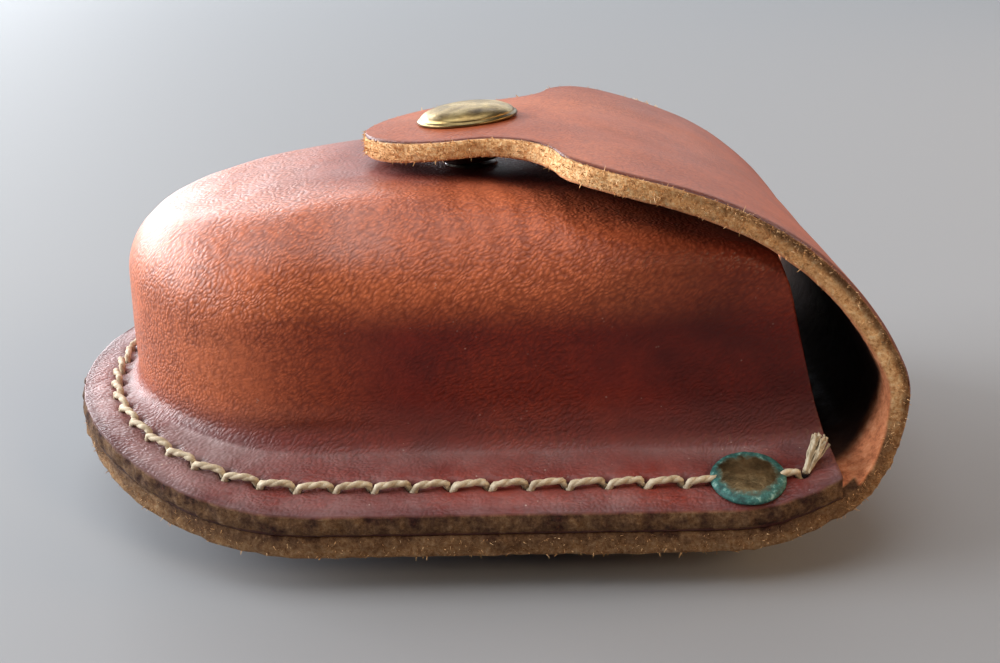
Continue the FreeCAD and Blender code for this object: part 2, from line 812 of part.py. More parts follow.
# --------------------------------------------------------------- belt loop
strap = size("strap")
under = size("flange_top") - 2 * leather
ramp = size("strap_ramp")
left = size("strap_left")
slot_left = size("slot_left")
slot_right = size("slot_right")
right = size("strap_right")
loop_side = polygon([
    (left, under - 0.02), (slot_left, under - 0.02), (slot_left + ramp, strap),
    (slot_right - ramp, strap), (slot_right, under - 0.02), (right, under - 0.02),
    (right, under - strap), (slot_right + 1.1, under - strap),
    (slot_right - ramp + 1.1, 0), (slot_left + ramp - 1.1, 0), (slot_left - 1.1, under - strap),
    (left, under - strap)])
loop_body = new_body("belt_loop_body")
loop_sketch = new_sketch(loop_body, "loop_side", "XZ_Plane", loop_side)
pad(loop_body, "loop_pad", loop_sketch, "2 * <strap_half>", midplane=True)
loop_bores = new_sketch(loop_body, "loop_rivet_holes", "XY_Plane",
                        [Part.Circle(V(size("belt_rivet_x"), side * size("belt_rivet_y"), 0), V(0, 0, 1),
                                     size("belt_rivet_post")) for side in (-1, 1)], 20.0)
cut_through(loop_body, "loop_rivet_bores", loop_bores, both=False, depth="20")

loop_stitches = []
thread = 0.5 * size("thread")
for spots in loop_spots():
    x = spots[0].x
    for here, ahead in zip(spots[:-1], spots[1:]):
        low_z = under - strap - thread
        high_z = under + leather + thread
        run_y = ahead.y - here.y
        pieces = [Part.makeCylinder(thread, high_z - low_z, V(x, here.y, low_z))]
        for z in (low_z, high_z):
            pieces.append(Part.makeSphere(thread, V(x, here.y, z)))
            pieces.append(Part.makeCylinder(thread, run_y - 2 * thread - 0.12, V(x, here.y, z), V(0, 1, 0)))
        loop_stitches.append(pieces[0].multiFuse(pieces[1:]).Solids[0])
nodes.append(cut_node("belt_loop", loop_body, loop_hole_tool))
nodes.append(made_shape("belt_loop_thread", Part.Compound(loop_stitches)))

for word, side in (("near", -1), ("far", 1)):
    seat = FreeCAD.Placement(V(size("belt_rivet_x"), side * size("belt_rivet_y"), under - strap),
                             FreeCAD.Rotation(V(1, 0, 0), 180.0))
    turned("belt_rivet_cap_" + word, dome(size("belt_rivet_cap"), 1.2, 0.3), seat)
    belt_post = size("belt_rivet_post") - 0.02
    long = strap + leather + 0.05
    turned("belt_rivet_post_" + word, polygon([
        (0, 0), (belt_post, 0), (belt_post, -long), (2.8, -long), (2.8, -long - 0.3), (2.3, -long - 0.6),
        (0, -long - 0.6)]), seat)

# ------------------------------------------------------- checks and export
doc.recompute()
for item in doc.Objects:
    if "Invalid" in item.State or "Error" in item.State:
        raise RuntimeError("%s is %s" % (item.Name, item.State))
for node in nodes:
    if node.TypeId != "Part::Cut":
        node.Label = node.Name
    shape = node.Shape
    if shape.isNull() or not shape.isValid():
        raise RuntimeError(node.Label + " has a bad shape")
    bounds = shape.BoundBox
    print("%-24s %3d solids %9.1f mm3  X %6.1f %6.1f  Y %6.1f %6.1f  Z %6.1f %6.1f" % (
        node.Label, len(shape.Solids), shape.Volume, bounds.XMin, bounds.XMax,
        bounds.YMin, bounds.YMax, bounds.ZMin, bounds.ZMax))
    shape.exportStep("parts/%s.step" % node.Label)
print("hinge axis", HINGE, "tongue axis", ROOT, "snap", SNAP_TOP, SNAP_TILT)
print("holes", len(all_holes))
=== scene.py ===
import math
import bmesh
import bpy
import numpy as np
from mathutils import Matrix, Vector


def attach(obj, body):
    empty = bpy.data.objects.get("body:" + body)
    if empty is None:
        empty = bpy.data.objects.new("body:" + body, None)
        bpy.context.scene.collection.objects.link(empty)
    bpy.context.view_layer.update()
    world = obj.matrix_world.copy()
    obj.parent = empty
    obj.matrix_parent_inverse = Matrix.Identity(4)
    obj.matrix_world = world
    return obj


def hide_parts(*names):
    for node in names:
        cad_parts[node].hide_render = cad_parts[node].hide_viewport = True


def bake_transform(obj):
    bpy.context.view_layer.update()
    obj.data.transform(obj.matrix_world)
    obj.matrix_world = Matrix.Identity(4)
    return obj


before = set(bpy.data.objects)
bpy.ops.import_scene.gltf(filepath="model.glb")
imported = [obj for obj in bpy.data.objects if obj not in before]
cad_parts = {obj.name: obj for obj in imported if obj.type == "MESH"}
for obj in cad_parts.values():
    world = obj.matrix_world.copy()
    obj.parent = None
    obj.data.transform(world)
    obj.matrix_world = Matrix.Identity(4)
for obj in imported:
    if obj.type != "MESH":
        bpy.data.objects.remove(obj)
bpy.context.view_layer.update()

# Skins, looks, floor, light and camera of a leather belt pouch with a snap flap.
# Lengths are in mm until build() turns them into metres; lights and camera are in metres.
MM = 0.001
rng = np.random.default_rng(7)

# --- dimensions, mm
LEATHER = 2.5
CASE_LEFT, END_X, HALF = -49.5, -16.0, 39.2
CORNER_X, CORNER_R, MOUTH_X = 30.0, 25.0, 40.5
FLAT_HALF, ARCH_R, FADE_X, FLANGE_TOP = 15.0, 71.0, 28.0, 13.5
BOX_HALF, BOX_END, SHOULDER, FILLET = 28.8, 27.0, 12.0, 1.9
DOME_TOP, DOME_X, DOME_R = 38.6, -4.0, 150.0
BEND_R, BEND_END = 9.0, math.radians(116.0)
RISE_R, RISE_END = 38.0, math.radians(157.0)
CROWN_R, CROWN_END = 60.0, math.radians(186.5)
TIP_X, FLAP_HALF, TONGUE_HALF, ROOT_X, NECK_X = -12.5, 29.85, 13.0, 21.0, 0.5
SNAP_X, SEAM_MARGIN, PITCH, RIVET_X = 0.4, 3.9, 4.23, 30.7
RIVET_R, SNAP_CAP_R = 4.0, 6.4
SEAM_Y = HALF - SEAM_MARGIN
SEAM_LONG = END_X - CASE_LEFT - SEAM_MARGIN
HINGE_X = MOUTH_X + BEND_R
NEARLY_FLAT = 20000.0


# --- value noise
def lattice(ix, iy, iz, seed):
    """A repeatable number from 0 to 1 for each whole-number cell."""
    # large odd factors scatter neighbouring cells
    value = (ix * 374761393 + iy * 668265263 + iz * 1103515245 + seed * 974634777) & 0xFFFFFFFF
    value = ((value ^ (value >> 13)) * 1274126177) & 0xFFFFFFFF
    value = value ^ (value >> 16)
    return value / 4294967295.0


def value_noise(points, cell, seed=0):
    """Smooth noise from -1 to 1 at points in mm, with features of one cell."""
    p = np.asarray(points, float) / cell + 512.0
    base = np.floor(p).astype(np.int64)
    f = p - base
    f = f * f * (3 - 2 * f)
    total = np.zeros(len(p))
    for dx in (0, 1):
        for dy in (0, 1):
            for dz in (0, 1):
                w = (f[:, 0] if dx else 1 - f[:, 0]) * (f[:, 1] if dy else 1 - f[:, 1])
                w = w * (f[:, 2] if dz else 1 - f[:, 2])
                total += w * lattice(base[:, 0] + dx, base[:, 1] + dy, base[:, 2] + dz, seed)
    return total * 2 - 1


def fbm(points, cell, seed=0, octaves=3):
    """Noise summed over octaves, each half as wide and half as strong."""
    total = np.zeros(len(points))
    gain = 1.0
    for k in range(octaves):
        total += gain * value_noise(points, cell / 2 ** k, seed + k)
        gain *= 0.5
    return total


def smooth(value, low, high):
    """Ease from 0 at low to 1 at high."""
    t = np.clip((np.asarray(value, float) - low) / (high - low), 0, 1)
    return t * t * (3 - 2 * t)


# --- mesh helpers
def add_object(name, data):
    obj = bpy.data.objects.new(name, data)
    bpy.context.scene.collection.objects.link(obj)
    return obj


def build(name, points, faces, attributes=None, merge=0.0):
    """A mesh object from points in mm, with float attributes on its points."""
    mesh = bpy.data.meshes.new(name)
    mesh.from_pydata([tuple(p) for p in np.asarray(points) * MM], [], faces)
    mesh.update()
    for key, values in (attributes or {}).items():
        attribute = mesh.attributes.new(key, "FLOAT", "POINT")
        attribute.data.foreach_set("value", np.asarray(values, np.float32))
    rest = mesh.attributes.new("rest", "FLOAT_VECTOR", "POINT")
    rest.data.foreach_set("vector", (np.asarray(points) * MM).astype(np.float32).ravel())
    obj = add_object(name, mesh)
    if merge:
        work = bmesh.new()
        work.from_mesh(mesh)
        bmesh.ops.remove_doubles(work, verts=work.verts, dist=merge)
        bmesh.ops.recalc_face_normals(work, faces=work.faces)
        work.to_mesh(mesh)
        work.free()
    mesh.polygons.foreach_set("use_smooth", [True] * len(mesh.polygons))
    mesh.update()
    return obj


def vertex_normals(points, quads):
    """Area-weighted normals of the points of a mesh of quads."""
    normal = np.zeros_like(points)
    quads = np.asarray(quads)
    a, b, c, d = (points[quads[:, k]] for k in range(4))
    face = np.cross(c - a, d - b)
    for k in range(4):
        np.add.at(normal, quads[:, k], face)
    length = np.linalg.norm(normal, axis=1)
    return normal / np.maximum(length, 1e-12)[:, None]


def grid_faces(rows, columns, close_columns=False, offset=0):
    """Quads over rows of points; the columns may close into rings."""
    faces = []
    wrap = columns if close_columns else columns - 1
    for i in range(rows - 1):
        for j in range(wrap):
            k = (j + 1) % columns
            faces.append((offset + i * columns + j, offset + i * columns + k,
                          offset + (i + 1) * columns + k, offset + (i + 1) * columns + j))
    return faces


# --- leather shapes
def arch_offset(y, depth, radius):
    """Height of an arched layer relative to the flange's top at y = 0."""
    reach = np.maximum(np.abs(y) - FLAT_HALF, 0.0)
    return -radius + np.sqrt((radius - depth) ** 2 - reach ** 2)


def arch_radius(travelled):
    """Radius of the arch at a distance past FADE_X along the leather."""
    whole = MOUTH_X - FADE_X + BEND_R * math.pi / 2
    ease = smooth(travelled / whole, 0.0, 1.0)
    return 1.0 / ((1 - ease) / ARCH_R + ease / NEARLY_FLAT)


def flange_top(x, y, depth=0.0):
    """Height of the flange's top face, or of a layer at a depth under it."""
    return FLANGE_TOP + arch_offset(y, depth, arch_radius(x - FADE_X))


def corner_half(x):
    """Half width of the flange and back from the corner to the hinge line."""
    reach = np.clip(np.asarray(x, float) - CORNER_X, 0.0, HINGE_X - CORNER_X)
    return HALF - CORNER_R + np.sqrt(CORNER_R ** 2 - reach ** 2)


def path_stations():
    """Outer surface of back, bend, flap and tongue along the middle line."""
    rows = []
    for a in np.linspace(0.0, math.pi / 2, 40)[1:]:
        x = END_X - (END_X - CASE_LEFT) * math.cos(a)
        rows.append((x, FLANGE_TOP - 2 * LEATHER, 0.0, HALF * math.sin(a), x - FADE_X))
    for x in np.linspace(END_X, MOUTH_X, 60)[1:]:
        rows.append((x, FLANGE_TOP - 2 * LEATHER, 0.0, float(corner_half(x)), x - FADE_X))
    x0, z0, heading = MOUTH_X, FLANGE_TOP - 2 * LEATHER, 0.0
    travelled = MOUTH_X - FADE_X
    arcs = ((BEND_R, BEND_END, 0.45), (RISE_R, RISE_END, 0.5), (CROWN_R, CROWN_END, 0.5))
    for radius, end, step in arcs:
        cx, cz = x0 - radius * math.sin(heading), z0 + radius * math.cos(heading)
        count = int(radius * (end - heading) / step)
        for a in np.linspace(heading, end, count + 1)[1:]:
            x, z = cx + radius * math.sin(a), cz - radius * math.cos(a)
            rows.append((x, z, a, None, travelled + radius * (a - heading)))
        travelled += radius * (end - heading)
        x0, z0, heading = x, z, end
    tail = (x0 - TIP_X) / abs(math.cos(heading))
    for k in np.sin(np.linspace(0, math.pi / 2, 34))[1:]:
        reach = tail * min(k, 0.99995)
        rows.append((x0 + reach * math.cos(heading), z0 + reach * math.sin(heading), heading, None,
                     travelled + reach))
    return rows


def flap_half(x, heading):
    """Half width of flap and tongue at a station."""
    if heading <= math.pi / 2:
        return float(corner_half(min(x, HINGE_X)))
    if x >= ROOT_X:
        return FLAP_HALF
    if x <= TIP_X + TONGUE_HALF:
        reach = x - (TIP_X + TONGUE_HALF)
        return math.sqrt(max(TONGUE_HALF ** 2 - reach ** 2, 0.0025))
    rise, run = FLAP_HALF - TONGUE_HALF, ROOT_X - NECK_X
    radius = (run ** 2 + rise ** 2) / (4 * rise)
    if x <= NECK_X:
        return TONGUE_HALF
    if x <= 0.5 * (NECK_X + ROOT_X):
        return TONGUE_HALF + radius - math.sqrt(max(radius ** 2 - (x - NECK_X) ** 2, 0))
    return FLAP_HALF - radius + math.sqrt(max(radius ** 2 - (ROOT_X - x) ** 2, 0))


def leather_strip():
    """Back, bend, flap and tongue as one closed sheet of rings."""
    stations = path_stations()
    across = np.linspace(-1, 1, 111)
    across = np.sign(across) * (1 - (1 - np.abs(across)) ** 1.25)
    edge = np.linspace(0, 1, 9)[1:-1]
    ring = 2 * len(across) + 2 * len(edge)
    points, flesh, rim, along, middle = [], [], [], [], []
    for x, z, heading, half, travelled in stations:
        if half is None:
            half = flap_half(x, heading)
        radius = float(arch_radius(travelled))
        base = np.array([x, 0.0, z])
        normal = np.array([-math.sin(heading), 0.0, math.cos(heading)])
        y = across * half

        def layer(ys, depth):
            up = arch_offset(ys, depth, radius) + 2 * LEATHER
            return base + np.outer(up, normal) + np.outer(ys, [0, 1, 0])

        outer = layer(y, 2 * LEATHER)
        inner = layer(y, LEATHER)
        bulge = 0.22 * np.sin(math.pi * edge)
        right = outer[-1] + np.outer(edge, inner[-1] - outer[-1]) + np.outer(bulge, [0, 1, 0])
        left = outer[0] + np.outer(edge, inner[0] - outer[0]) - np.outer(bulge, [0, 1, 0])
        points.append(np.vstack([outer, right, inner[::-1], left[::-1]]))
        flesh.append(np.r_[np.zeros(len(y)), edge, np.ones(len(y)), edge[::-1]])
        rim.append(np.r_[np.zeros(len(y)), np.ones(len(edge)), np.zeros(len(y)), np.ones(len(edge))])
        along.append(np.full(ring, travelled))
        middle.append(np.r_[across, np.ones(len(edge)), across[::-1], -np.ones(len(edge))])
    rows = len(points)
    points = np.vstack(points)
    faces = grid_faces(rows, ring, True)
    return dict(points=points, faces=faces, rows=rows, ring=ring, across=len(across), edge=len(edge),
                flesh=np.concatenate(flesh), rim=np.concatenate(rim), along=np.concatenate(along),
                middle=np.concatenate(middle), stations=stations)


def worn_strip():
    """The strip with its lumps and rough edges, and the values its material reads."""
    strip = leather_strip()
    rest, along, raw, flesh = strip["points"], strip["along"], strip["rim"], strip["flesh"]
    face = 1 - raw
    half = [row[3] or flap_half(row[0], row[2]) for row in strip["stations"]]
    to_edge = (1 - np.abs(strip["middle"])) * np.repeat(half, strip["ring"])
    lump = 0.16 * fbm(rest, 14.0, 21)
    rough = 0.20 * fbm(rest, 1.2, 31, 4) + 0.16 * value_noise(rest, 0.5, 37)
    flesh_rough = 0.07 * fbm(rest, 1.0, 41, 3)
    shift = raw * rough + face * (lump * smooth(along, 14, 30) + flesh * flesh_rough)
    grain_side = face * (flesh < 0.5)
    shift -= grain_side * 0.34 * np.exp(-(to_edge / 0.50) ** 2)
    strip["line"] = grain_side * np.exp(-((to_edge - 0.35) / 0.70) ** 2)
    on_back = 1 - smooth(along, 20.0, 30.0)
    outer_half = (1 - smooth(flesh, 0.25, 0.6)) * (1 - smooth(along, 50.0, 75.0))
    strip["burn"] = on_back * (0.75 + 0.25 * flesh) + (1 - on_back) * (0.06 + 0.86 * outer_half)
    # the flesh side is dark and matted where the two layers meet at the edge
    matted = face * (flesh > 0.5) * (to_edge < 1.6) * (along < 15.0)
    strip["rim"] = np.maximum(raw, matted)
    strip["tone"] = face * 0.35 * smooth(along, 26.0, 40.0)
    # painted shade: inside the pouch the flesh side is coloured nearly black, but not along its near edge,
    # where light gets in
    shade_from = 4.2 - 3.4 * smooth(along, 20.0, 32.0)
    shade_from = np.where(rest[:, 1] > 0, 0.2, shade_from)
    strip["shade"] = ((1 - strip["rim"]) * (flesh > 0.5) * smooth(to_edge - shade_from, 0.0, 3.0)
                      * (0.96 - 0.5 * smooth(along, 46.0, 62.0)))
    normal = vertex_normals(rest, strip["faces"])
    strip["points"] = rest + normal * shift[:, None]
    # the middle of the back's lower face has to point down
    under_back = normal[strip["across"] // 2::strip["ring"]][:60, 2]
    strip["outward"] = -normal if np.mean(under_back) > 0 else normal
    return strip


strip = worn_strip()
# the back and flap skins part where the leather has risen past this heading
SPLIT = next(i for i, row in enumerate(strip["stations"]) if row[2] > math.radians(140.0))


def strip_piece(name, first, last):
    """The rings from first to last as a piece, closed where the strip itself ends."""
    ring = strip["ring"]
    take = slice(first * ring, (last + 1) * ring)
    points = strip["points"][take]
    faces = grid_faces(last - first + 1, ring, True)
    keys = {key: strip[key][take] for key in ("flesh", "rim", "line", "burn", "tone", "shade")}
    n, e = strip["across"], strip["edge"]
    for row, flip in ((0, False), (last - first, True)):
        closed = (row == 0 and first == 0) or (row > 0 and last == strip["rows"] - 1)
        if not closed:
            continue
        start = row * ring
        for k in range(n - 1):
            a, b = start + k, start + k + 1
            c, d = start + n + e + (n - 2 - k), start + n + e + (n - 1 - k)
            faces.append((a, d, c, b) if flip else (a, b, c, d))
    return build(name, points, faces, keys)


back_piece = strip_piece("back_and_bend_leather", 0, SPLIT)
flap_piece = strip_piece("flap_leather", SPLIT, strip["rows"] - 1)


# --- front shell
def shell_profile():
    """Section of the moulded box as distances from the middle and heights.

    The outer rows run from the flange's raw edge to the middle and say
    whether they are raw; the inner rows run from the middle back out.
    """
    top = DOME_TOP - FLANGE_TOP
    wall_top = top - SHOULDER
    round_out = BOX_HALF - SHOULDER
    quarter = math.pi / 2
    rows = []
    for t in np.linspace(0, 1, 8):
        rows.append((HALF + 0.25 * math.sin(math.pi * t), -LEATHER + LEATHER * t, 0 < t < 1))
    for d in np.linspace(HALF - 0.12, BOX_HALF + FILLET, 27):
        rows.append((d, 0.0, False))
    for a in np.linspace(0, quarter, 9)[1:]:
        rows.append((BOX_HALF + FILLET - FILLET * math.sin(a), FILLET - FILLET * math.cos(a), False))
    for t in np.linspace(0, 1, 22)[1:]:
        rows.append((BOX_HALF, FILLET + t * (wall_top - FILLET), False))
    for a in np.linspace(0, quarter, 20)[1:]:
        rows.append((round_out + SHOULDER * math.cos(a), wall_top + SHOULDER * math.sin(a), False))
    for t in np.linspace(0, 1, 26)[1:]:
        rows.append((round_out * (1 - t), top, False))
    inner = []
    for t in np.linspace(0, 1, 18):
        inner.append((round_out * t, top - LEATHER))
    round_in = SHOULDER - LEATHER
    for a in np.linspace(quarter, 0, 12)[1:]:
        inner.append((round_out + round_in * math.cos(a), wall_top + round_in * math.sin(a)))
    for t in np.linspace(0, 1, 12)[1:]:
        inner.append((BOX_HALF - LEATHER, wall_top * (1 - t) - LEATHER * t))
    for d in np.linspace(BOX_HALF - LEATHER, HALF, 10)[1:-1]:
        inner.append((d, -LEATHER))
    return rows, inner


# how far the mouth's edge reaches at each height, and how tight its shoulder is
MOUTH_Z = [13.5, 17.2, 20.8, 24.4, 28.0, 29.7, 31.2, 32.8, 34.2, 40.0]
MOUTH_EDGE = [40.4, 39.2, 38.2, 37.25, 36.4, 36.0, 35.5, 34.9, 34.3, 34.3]
MOUTH_TIGHT = 0.74
MOUTH_DROP = 4.4
SIDE_RUN = 52.0
END_TIGHT = 0.52


def dome_drop(x):
    """How far the box's top lies under its highest point."""
    return DOME_R - np.sqrt(DOME_R ** 2 - (x - DOME_X) ** 2) - 0.5 * smooth(x, 24.0, 33.0)


def stretched(rise, tight):
    """Height over the flange once the shoulder is tightened."""
    top = DOME_TOP - FLANGE_TOP
    wall_top = top - SHOULDER
    if rise >= wall_top:
        return top - (top - rise) * tight
    if rise > FILLET:
        return FILLET + (rise - FILLET) * (top - SHOULDER * tight - FILLET) / (wall_top - FILLET)
    return np.full_like(tight, rise, dtype=float)


def to_end(d):
    """Half length of the round end that goes with a distance from the middle."""
    return np.interp(d, [0, BOX_HALF, BOX_HALF + FILLET, SEAM_Y, HALF, HALF + 1],
                     [0, BOX_END, BOX_END + 1.7, SEAM_LONG, END_X - CASE_LEFT, END_X - CASE_LEFT + 1])


def lip_faces(points, out_line, in_line, flip):
    """Triangles that close the mouth's edge between the outer and inner face."""
    faces = []
    i = j = 0
    while i < len(out_line) - 1 or j < len(in_line) - 1:
        go_out = j == len(in_line) - 1
        if not go_out and i < len(out_line) - 1:
            a = points[out_line[i + 1]] - points[in_line[j]]
            b = points[out_line[i]] - points[in_line[j + 1]]
            go_out = a @ a < b @ b
        if go_out:
            face = (out_line[i], in_line[j], out_line[i + 1])
            i += 1
        else:
            face = (out_line[i], in_line[j], in_line[j + 1])
            j += 1
        faces.append(face[::-1] if flip else face)
    return faces


def front_shell():
    """The moulded box and its flange: columns from mouth to mouth round the end."""
    rows, inner = shell_profile()
    everything = [(d, rise, raw, 0.0) for d, rise, raw in rows]
    everything += [(d, rise, False, 1.0) for d, rise in inner]
    straight = np.linspace(0, 1, 150)
    turn = np.linspace(-math.pi / 2, math.pi / 2, 262)[1:-1]
    side = np.r_[-np.ones(len(straight)), np.zeros(len(turn)), np.ones(len(straight))]
    value = np.r_[straight[::-1], turn, straight]
    at_end = side == 0.0
    count, total, outer_rows = len(value), len(everything), len(rows)
    wall_top = DOME_TOP - FLANGE_TOP - SHOULDER
    # the shoulder is tighter round the end and towards the mouth
    tight = 1 - np.where(at_end, END_TIGHT * np.cos(np.where(at_end, value, 0.0)) ** 2,
                         MOUTH_TIGHT * smooth(END_X + SIDE_RUN * value, -2.0, 32.0))
    points, rim, flesh, distance = [], [], [], []
    for d, rise, raw, inside in everything:
        reach = np.full(count, float(d))
        inset = BOX_HALF - d
        if inset > SHOULDER:
            reach = (BOX_HALF - SHOULDER * tight) * (BOX_HALF - inset) / (BOX_HALF - SHOULDER)
        elif inset > 0:
            reach = BOX_HALF - inset * tight
        climb = np.clip((rise - FILLET) / (wall_top - FILLET), 0.0, 1.0)
        # above the flange the inner face reads the mouth's curve one leather higher
        edge_z = FLANGE_TOP + stretched(rise, 1 - MOUTH_TIGHT) + inside * LEATHER * (rise > 8)
        edge_z = edge_z - MOUTH_DROP * climb
        limit = MOUTH_X if rise <= 0.05 else float(np.interp(edge_z, MOUTH_Z, MOUTH_EDGE))
        x_side = END_X + value * (limit - END_X)
        x = np.where(at_end, END_X - to_end(reach) * np.cos(value), x_side)
        half = reach - (HALF - corner_half(x_side)) * float(smooth(d, 30.5, HALF))
        y = np.where(at_end, reach * np.sin(value), half * side)
        if inside and rise <= 0.0:
            z = flange_top(x, y, LEATHER)
        else:
            sag = FLANGE_TOP - flange_top(x, y)
            follow = 1 - smooth(rise, 1.0, 9.0)
            z = FLANGE_TOP + stretched(rise, tight) - sag * follow - dome_drop(x) * climb
        points.append(np.column_stack([x, y, z]))
        rim.append(np.full(count, float(raw)))
        flesh.append(np.full(count, inside))
        distance.append(np.full(count, d))
    points = np.vstack(points)
    # outer face, then inner face; each closes on itself along the middle line
    faces = grid_faces(outer_rows, count, False)
    faces += grid_faces(total - outer_rows, count, False, outer_rows * count)
    for column, flip in ((0, False), (count - 1, True)):
        out_line = [i * count + column for i in range(outer_rows)]
        in_line = [i * count + column for i in range(total - 1, outer_rows - 1, -1)]
        faces += lip_faces(points, out_line, in_line, flip)
    last = (total - 1) * count
    faces += [(last + k, last + k + 1, k + 1, k) for k in range(count - 1)]
    return dict(points=points, faces=faces, rim=np.concatenate(rim), flesh=np.concatenate(flesh),
                distance=np.concatenate(distance), outer=outer_rows * count,
                on_top=(outer_rows - 2) * count + 10)


def seam_holes():
    """Holes along one side from the round end, as the seam is sewn."""
    fine = np.linspace(0, math.pi / 2, 4001)
    x = END_X - SEAM_LONG * np.cos(fine)
    y = SEAM_Y * np.sin(fine)
    run = np.r_[0, np.cumsum(np.hypot(np.diff(x), np.diff(y)))]
    result = []
    wanted = 0.5 * PITCH
    while True:
        if wanted <= run[-1]:
            result.append((float(np.interp(wanted, run, x)), float(np.interp(wanted, run, y))))
        else:
            along = END_X + wanted - run[-1]
            if along > MOUTH_X - 1.5:
                break
            result.append((along, SEAM_Y))
        wanted += PITCH
    return result


side_holes = seam_holes()
holes = [(x, -y) for x, y in reversed(side_holes)] + side_holes


def dimple(points, centres, radius):
    """How deep, from 0 to 1, each point lies in round pits about the centres."""
    result = np.zeros(len(points))
    for cx, cy in centres:
        near = (points[:, 0] - cx) ** 2 + (points[:, 1] - cy) ** 2
        result = np.maximum(result, np.exp(-near / radius ** 2))
    return result


def seam_inward(x, y):
    """Unit vector in plan from the seam towards the box."""
    if x < END_X:
        v = np.array([END_X - x, -y * (SEAM_LONG / SEAM_Y) ** 2])
        return v / np.linalg.norm(v)
    return np.array([0.0, -1.0 if y > 0 else 1.0])


def shell_relief(shell, outer, on_flange, pits):
    """How far each point of the shell moves along its normal."""
    points, raw = shell["points"], shell["rim"]
    X, Y, Z = points.T
    move = outer * (1 - raw) * (0.24 * fbm(points, 16.0, 3) * smooth(Z, 16.0, 24.0))
    # the long wall bulges in the middle and draws in at the mouth
    wall = outer * smooth(Z, 13.5, 25.0) * (1 - smooth(Z, 27.0, 36.0))
    straight_wall = smooth(X, -16.0, -4.0)
    move += wall * straight_wall * (0.9 * np.exp(-((X - 8) / 22) ** 2) - 0.7 * smooth(X, 22.0, 40.0))
    # the top swells round the snap
    from_stud = np.hypot(X - SNAP_X, Y)
    swell = smooth(from_stud, 4.5, 11.0) * (1 - smooth(from_stud, 18.0, 30.0))
    move += outer * smooth(Z, 34.0, 37.0) * 0.5 * swell
    # a crease at the wall's foot and faint pull marks on the shoulder
    crease = np.exp(-((Z - 14.6) / 0.8) ** 2) * smooth(-Y, 22, 27) * np.exp(-((X + 17) / 6.5) ** 2)
    move -= outer * 0.45 * crease
    pull = outer * smooth(Z, 31.0, 35.0) * np.exp(-((X - 4) / 12) ** 2) * smooth(-Y, 8, 20)
    move += pull * 0.05 * np.sin(X * 1.9 + Y * 0.35 + 1.5 * value_noise(points, 6.0, 9))
    # the seam lies in a shallow channel, with a pit at each hole
    channel = np.exp(-((shell["distance"] - SEAM_Y) / 0.9) ** 2) * 0.22
    move -= on_flange * (pits * 1.15 + channel)
    move += on_flange * 0.10 * fbm(points, 5.0, 61)
    edge_noise = 0.20 * fbm(points, 1.3, 71, 4) + 0.10 * value_noise(points, 0.5, 77)
    return move + outer * (raw > 0.5) * edge_noise


def worn_shell():
    """The front shell's skin, and the values its material reads."""
    shell = front_shell()
    rest, raw, distance = shell["points"], shell["rim"], shell["distance"]
    X, Y, Z = rest.T
    outer = np.arange(len(rest)) < shell["outer"]
    on_flange = outer & (distance > BOX_HALF + 1.0) & (raw < 0.5)
    normal = vertex_normals(rest, [face for face in shell["faces"] if len(face) == 4])
    if normal[shell["on_top"]][2] < 0:
        normal = -normal
    normal[outer & (distance < 0.6)] = (0.0, 0.0, 1.0)
    hole_spots = []
    for x, y in holes:
        inward = seam_inward(x, y)
        hole_spots.append((x + inward[0] * 0.32, y + inward[1] * 0.32))
    pits = dimple(rest, hole_spots, 0.62)
    points = rest + normal * shell_relief(shell, outer, on_flange, pits)[:, None]
    # dust and a painted sheen on the top near the round end and on the flange
    dust_and_sheen = 0.55 * smooth(Z, 31.0, 35.0) * (1 - smooth(X, -14.0, 8.0)) * (0.75 + 0.5 * fbm(points, 9.0, 81))
    dust_and_sheen += on_flange * smooth(-X, 14.0, 42.0) * (0.65 + 0.4 * fbm(points, 7.0, 85))
    dust_and_sheen += on_flange * (0.30 + 0.20 * fbm(points, 5.0, 87) + 0.2 * smooth(distance, 36.0, 39.0))
    near_edge = np.exp(-((HALF - 0.3 - distance) / 0.7) ** 2) * on_flange
    # painted light: lighter tan round the end, where the window's light falls, and along the near shoulder,
    # lit from above
    tone = 0.95 * smooth(-X, 5.0, 36.0) * smooth(Z, 13.0, 17.0)
    tone += 0.85 * smooth(Z, 25.5, 31.5) * smooth(-Y, 6.0, 20.0) * (1 - 0.75 * smooth(X, 8.0, 30.0))
    # painted sheen: a pale grey band along the fillet at the wall's foot
    foot = np.exp(-((distance - BOX_HALF - 1.5) / 2.2) ** 2) * (1 - smooth(Z, 13.8, 19.0))
    # painted shade: the stitch pits and the whole inner face are coloured nearly black in the material
    marks = dict(flesh=shell["flesh"], rim=(raw > 0.5) * 1.0, hole=np.clip(pits * on_flange, 0, 1),
                 dust_and_sheen=np.clip(outer * dust_and_sheen, 0, 1), burn=np.ones(len(points)),
                 line=0.6 * near_edge, tone=np.clip(outer * tone, 0, 1),
                 shade=0.96 * (1 - outer) * (1 - raw), base=outer * foot)
    return build("front_shell_leather", points, shell["faces"], marks, merge=1e-7)


shell_piece = worn_shell()


# --- thread
def tube(path, radius, sides=8):
    """Rings about a path; the radius may change along it."""
    path = np.asarray(path, float)
    radius = np.broadcast_to(radius, len(path))
    tangent = np.gradient(path, axis=0)
    tangent /= np.linalg.norm(tangent, axis=1)[:, None]
    side = np.cross(tangent, [0.0, 0.0, 1.0])
    side /= np.maximum(np.linalg.norm(side, axis=1), 1e-9)[:, None]
    up = np.cross(side, tangent)
    angle = np.linspace(0, 2 * math.pi, sides, endpoint=False)
    rings = [spot + r * (np.outer(np.cos(angle), s) + np.outer(np.sin(angle), u))
             for spot, r, s, u in zip(path, radius, side, up)]
    return np.vstack(rings), grid_faces(len(path), sides, True), side, up


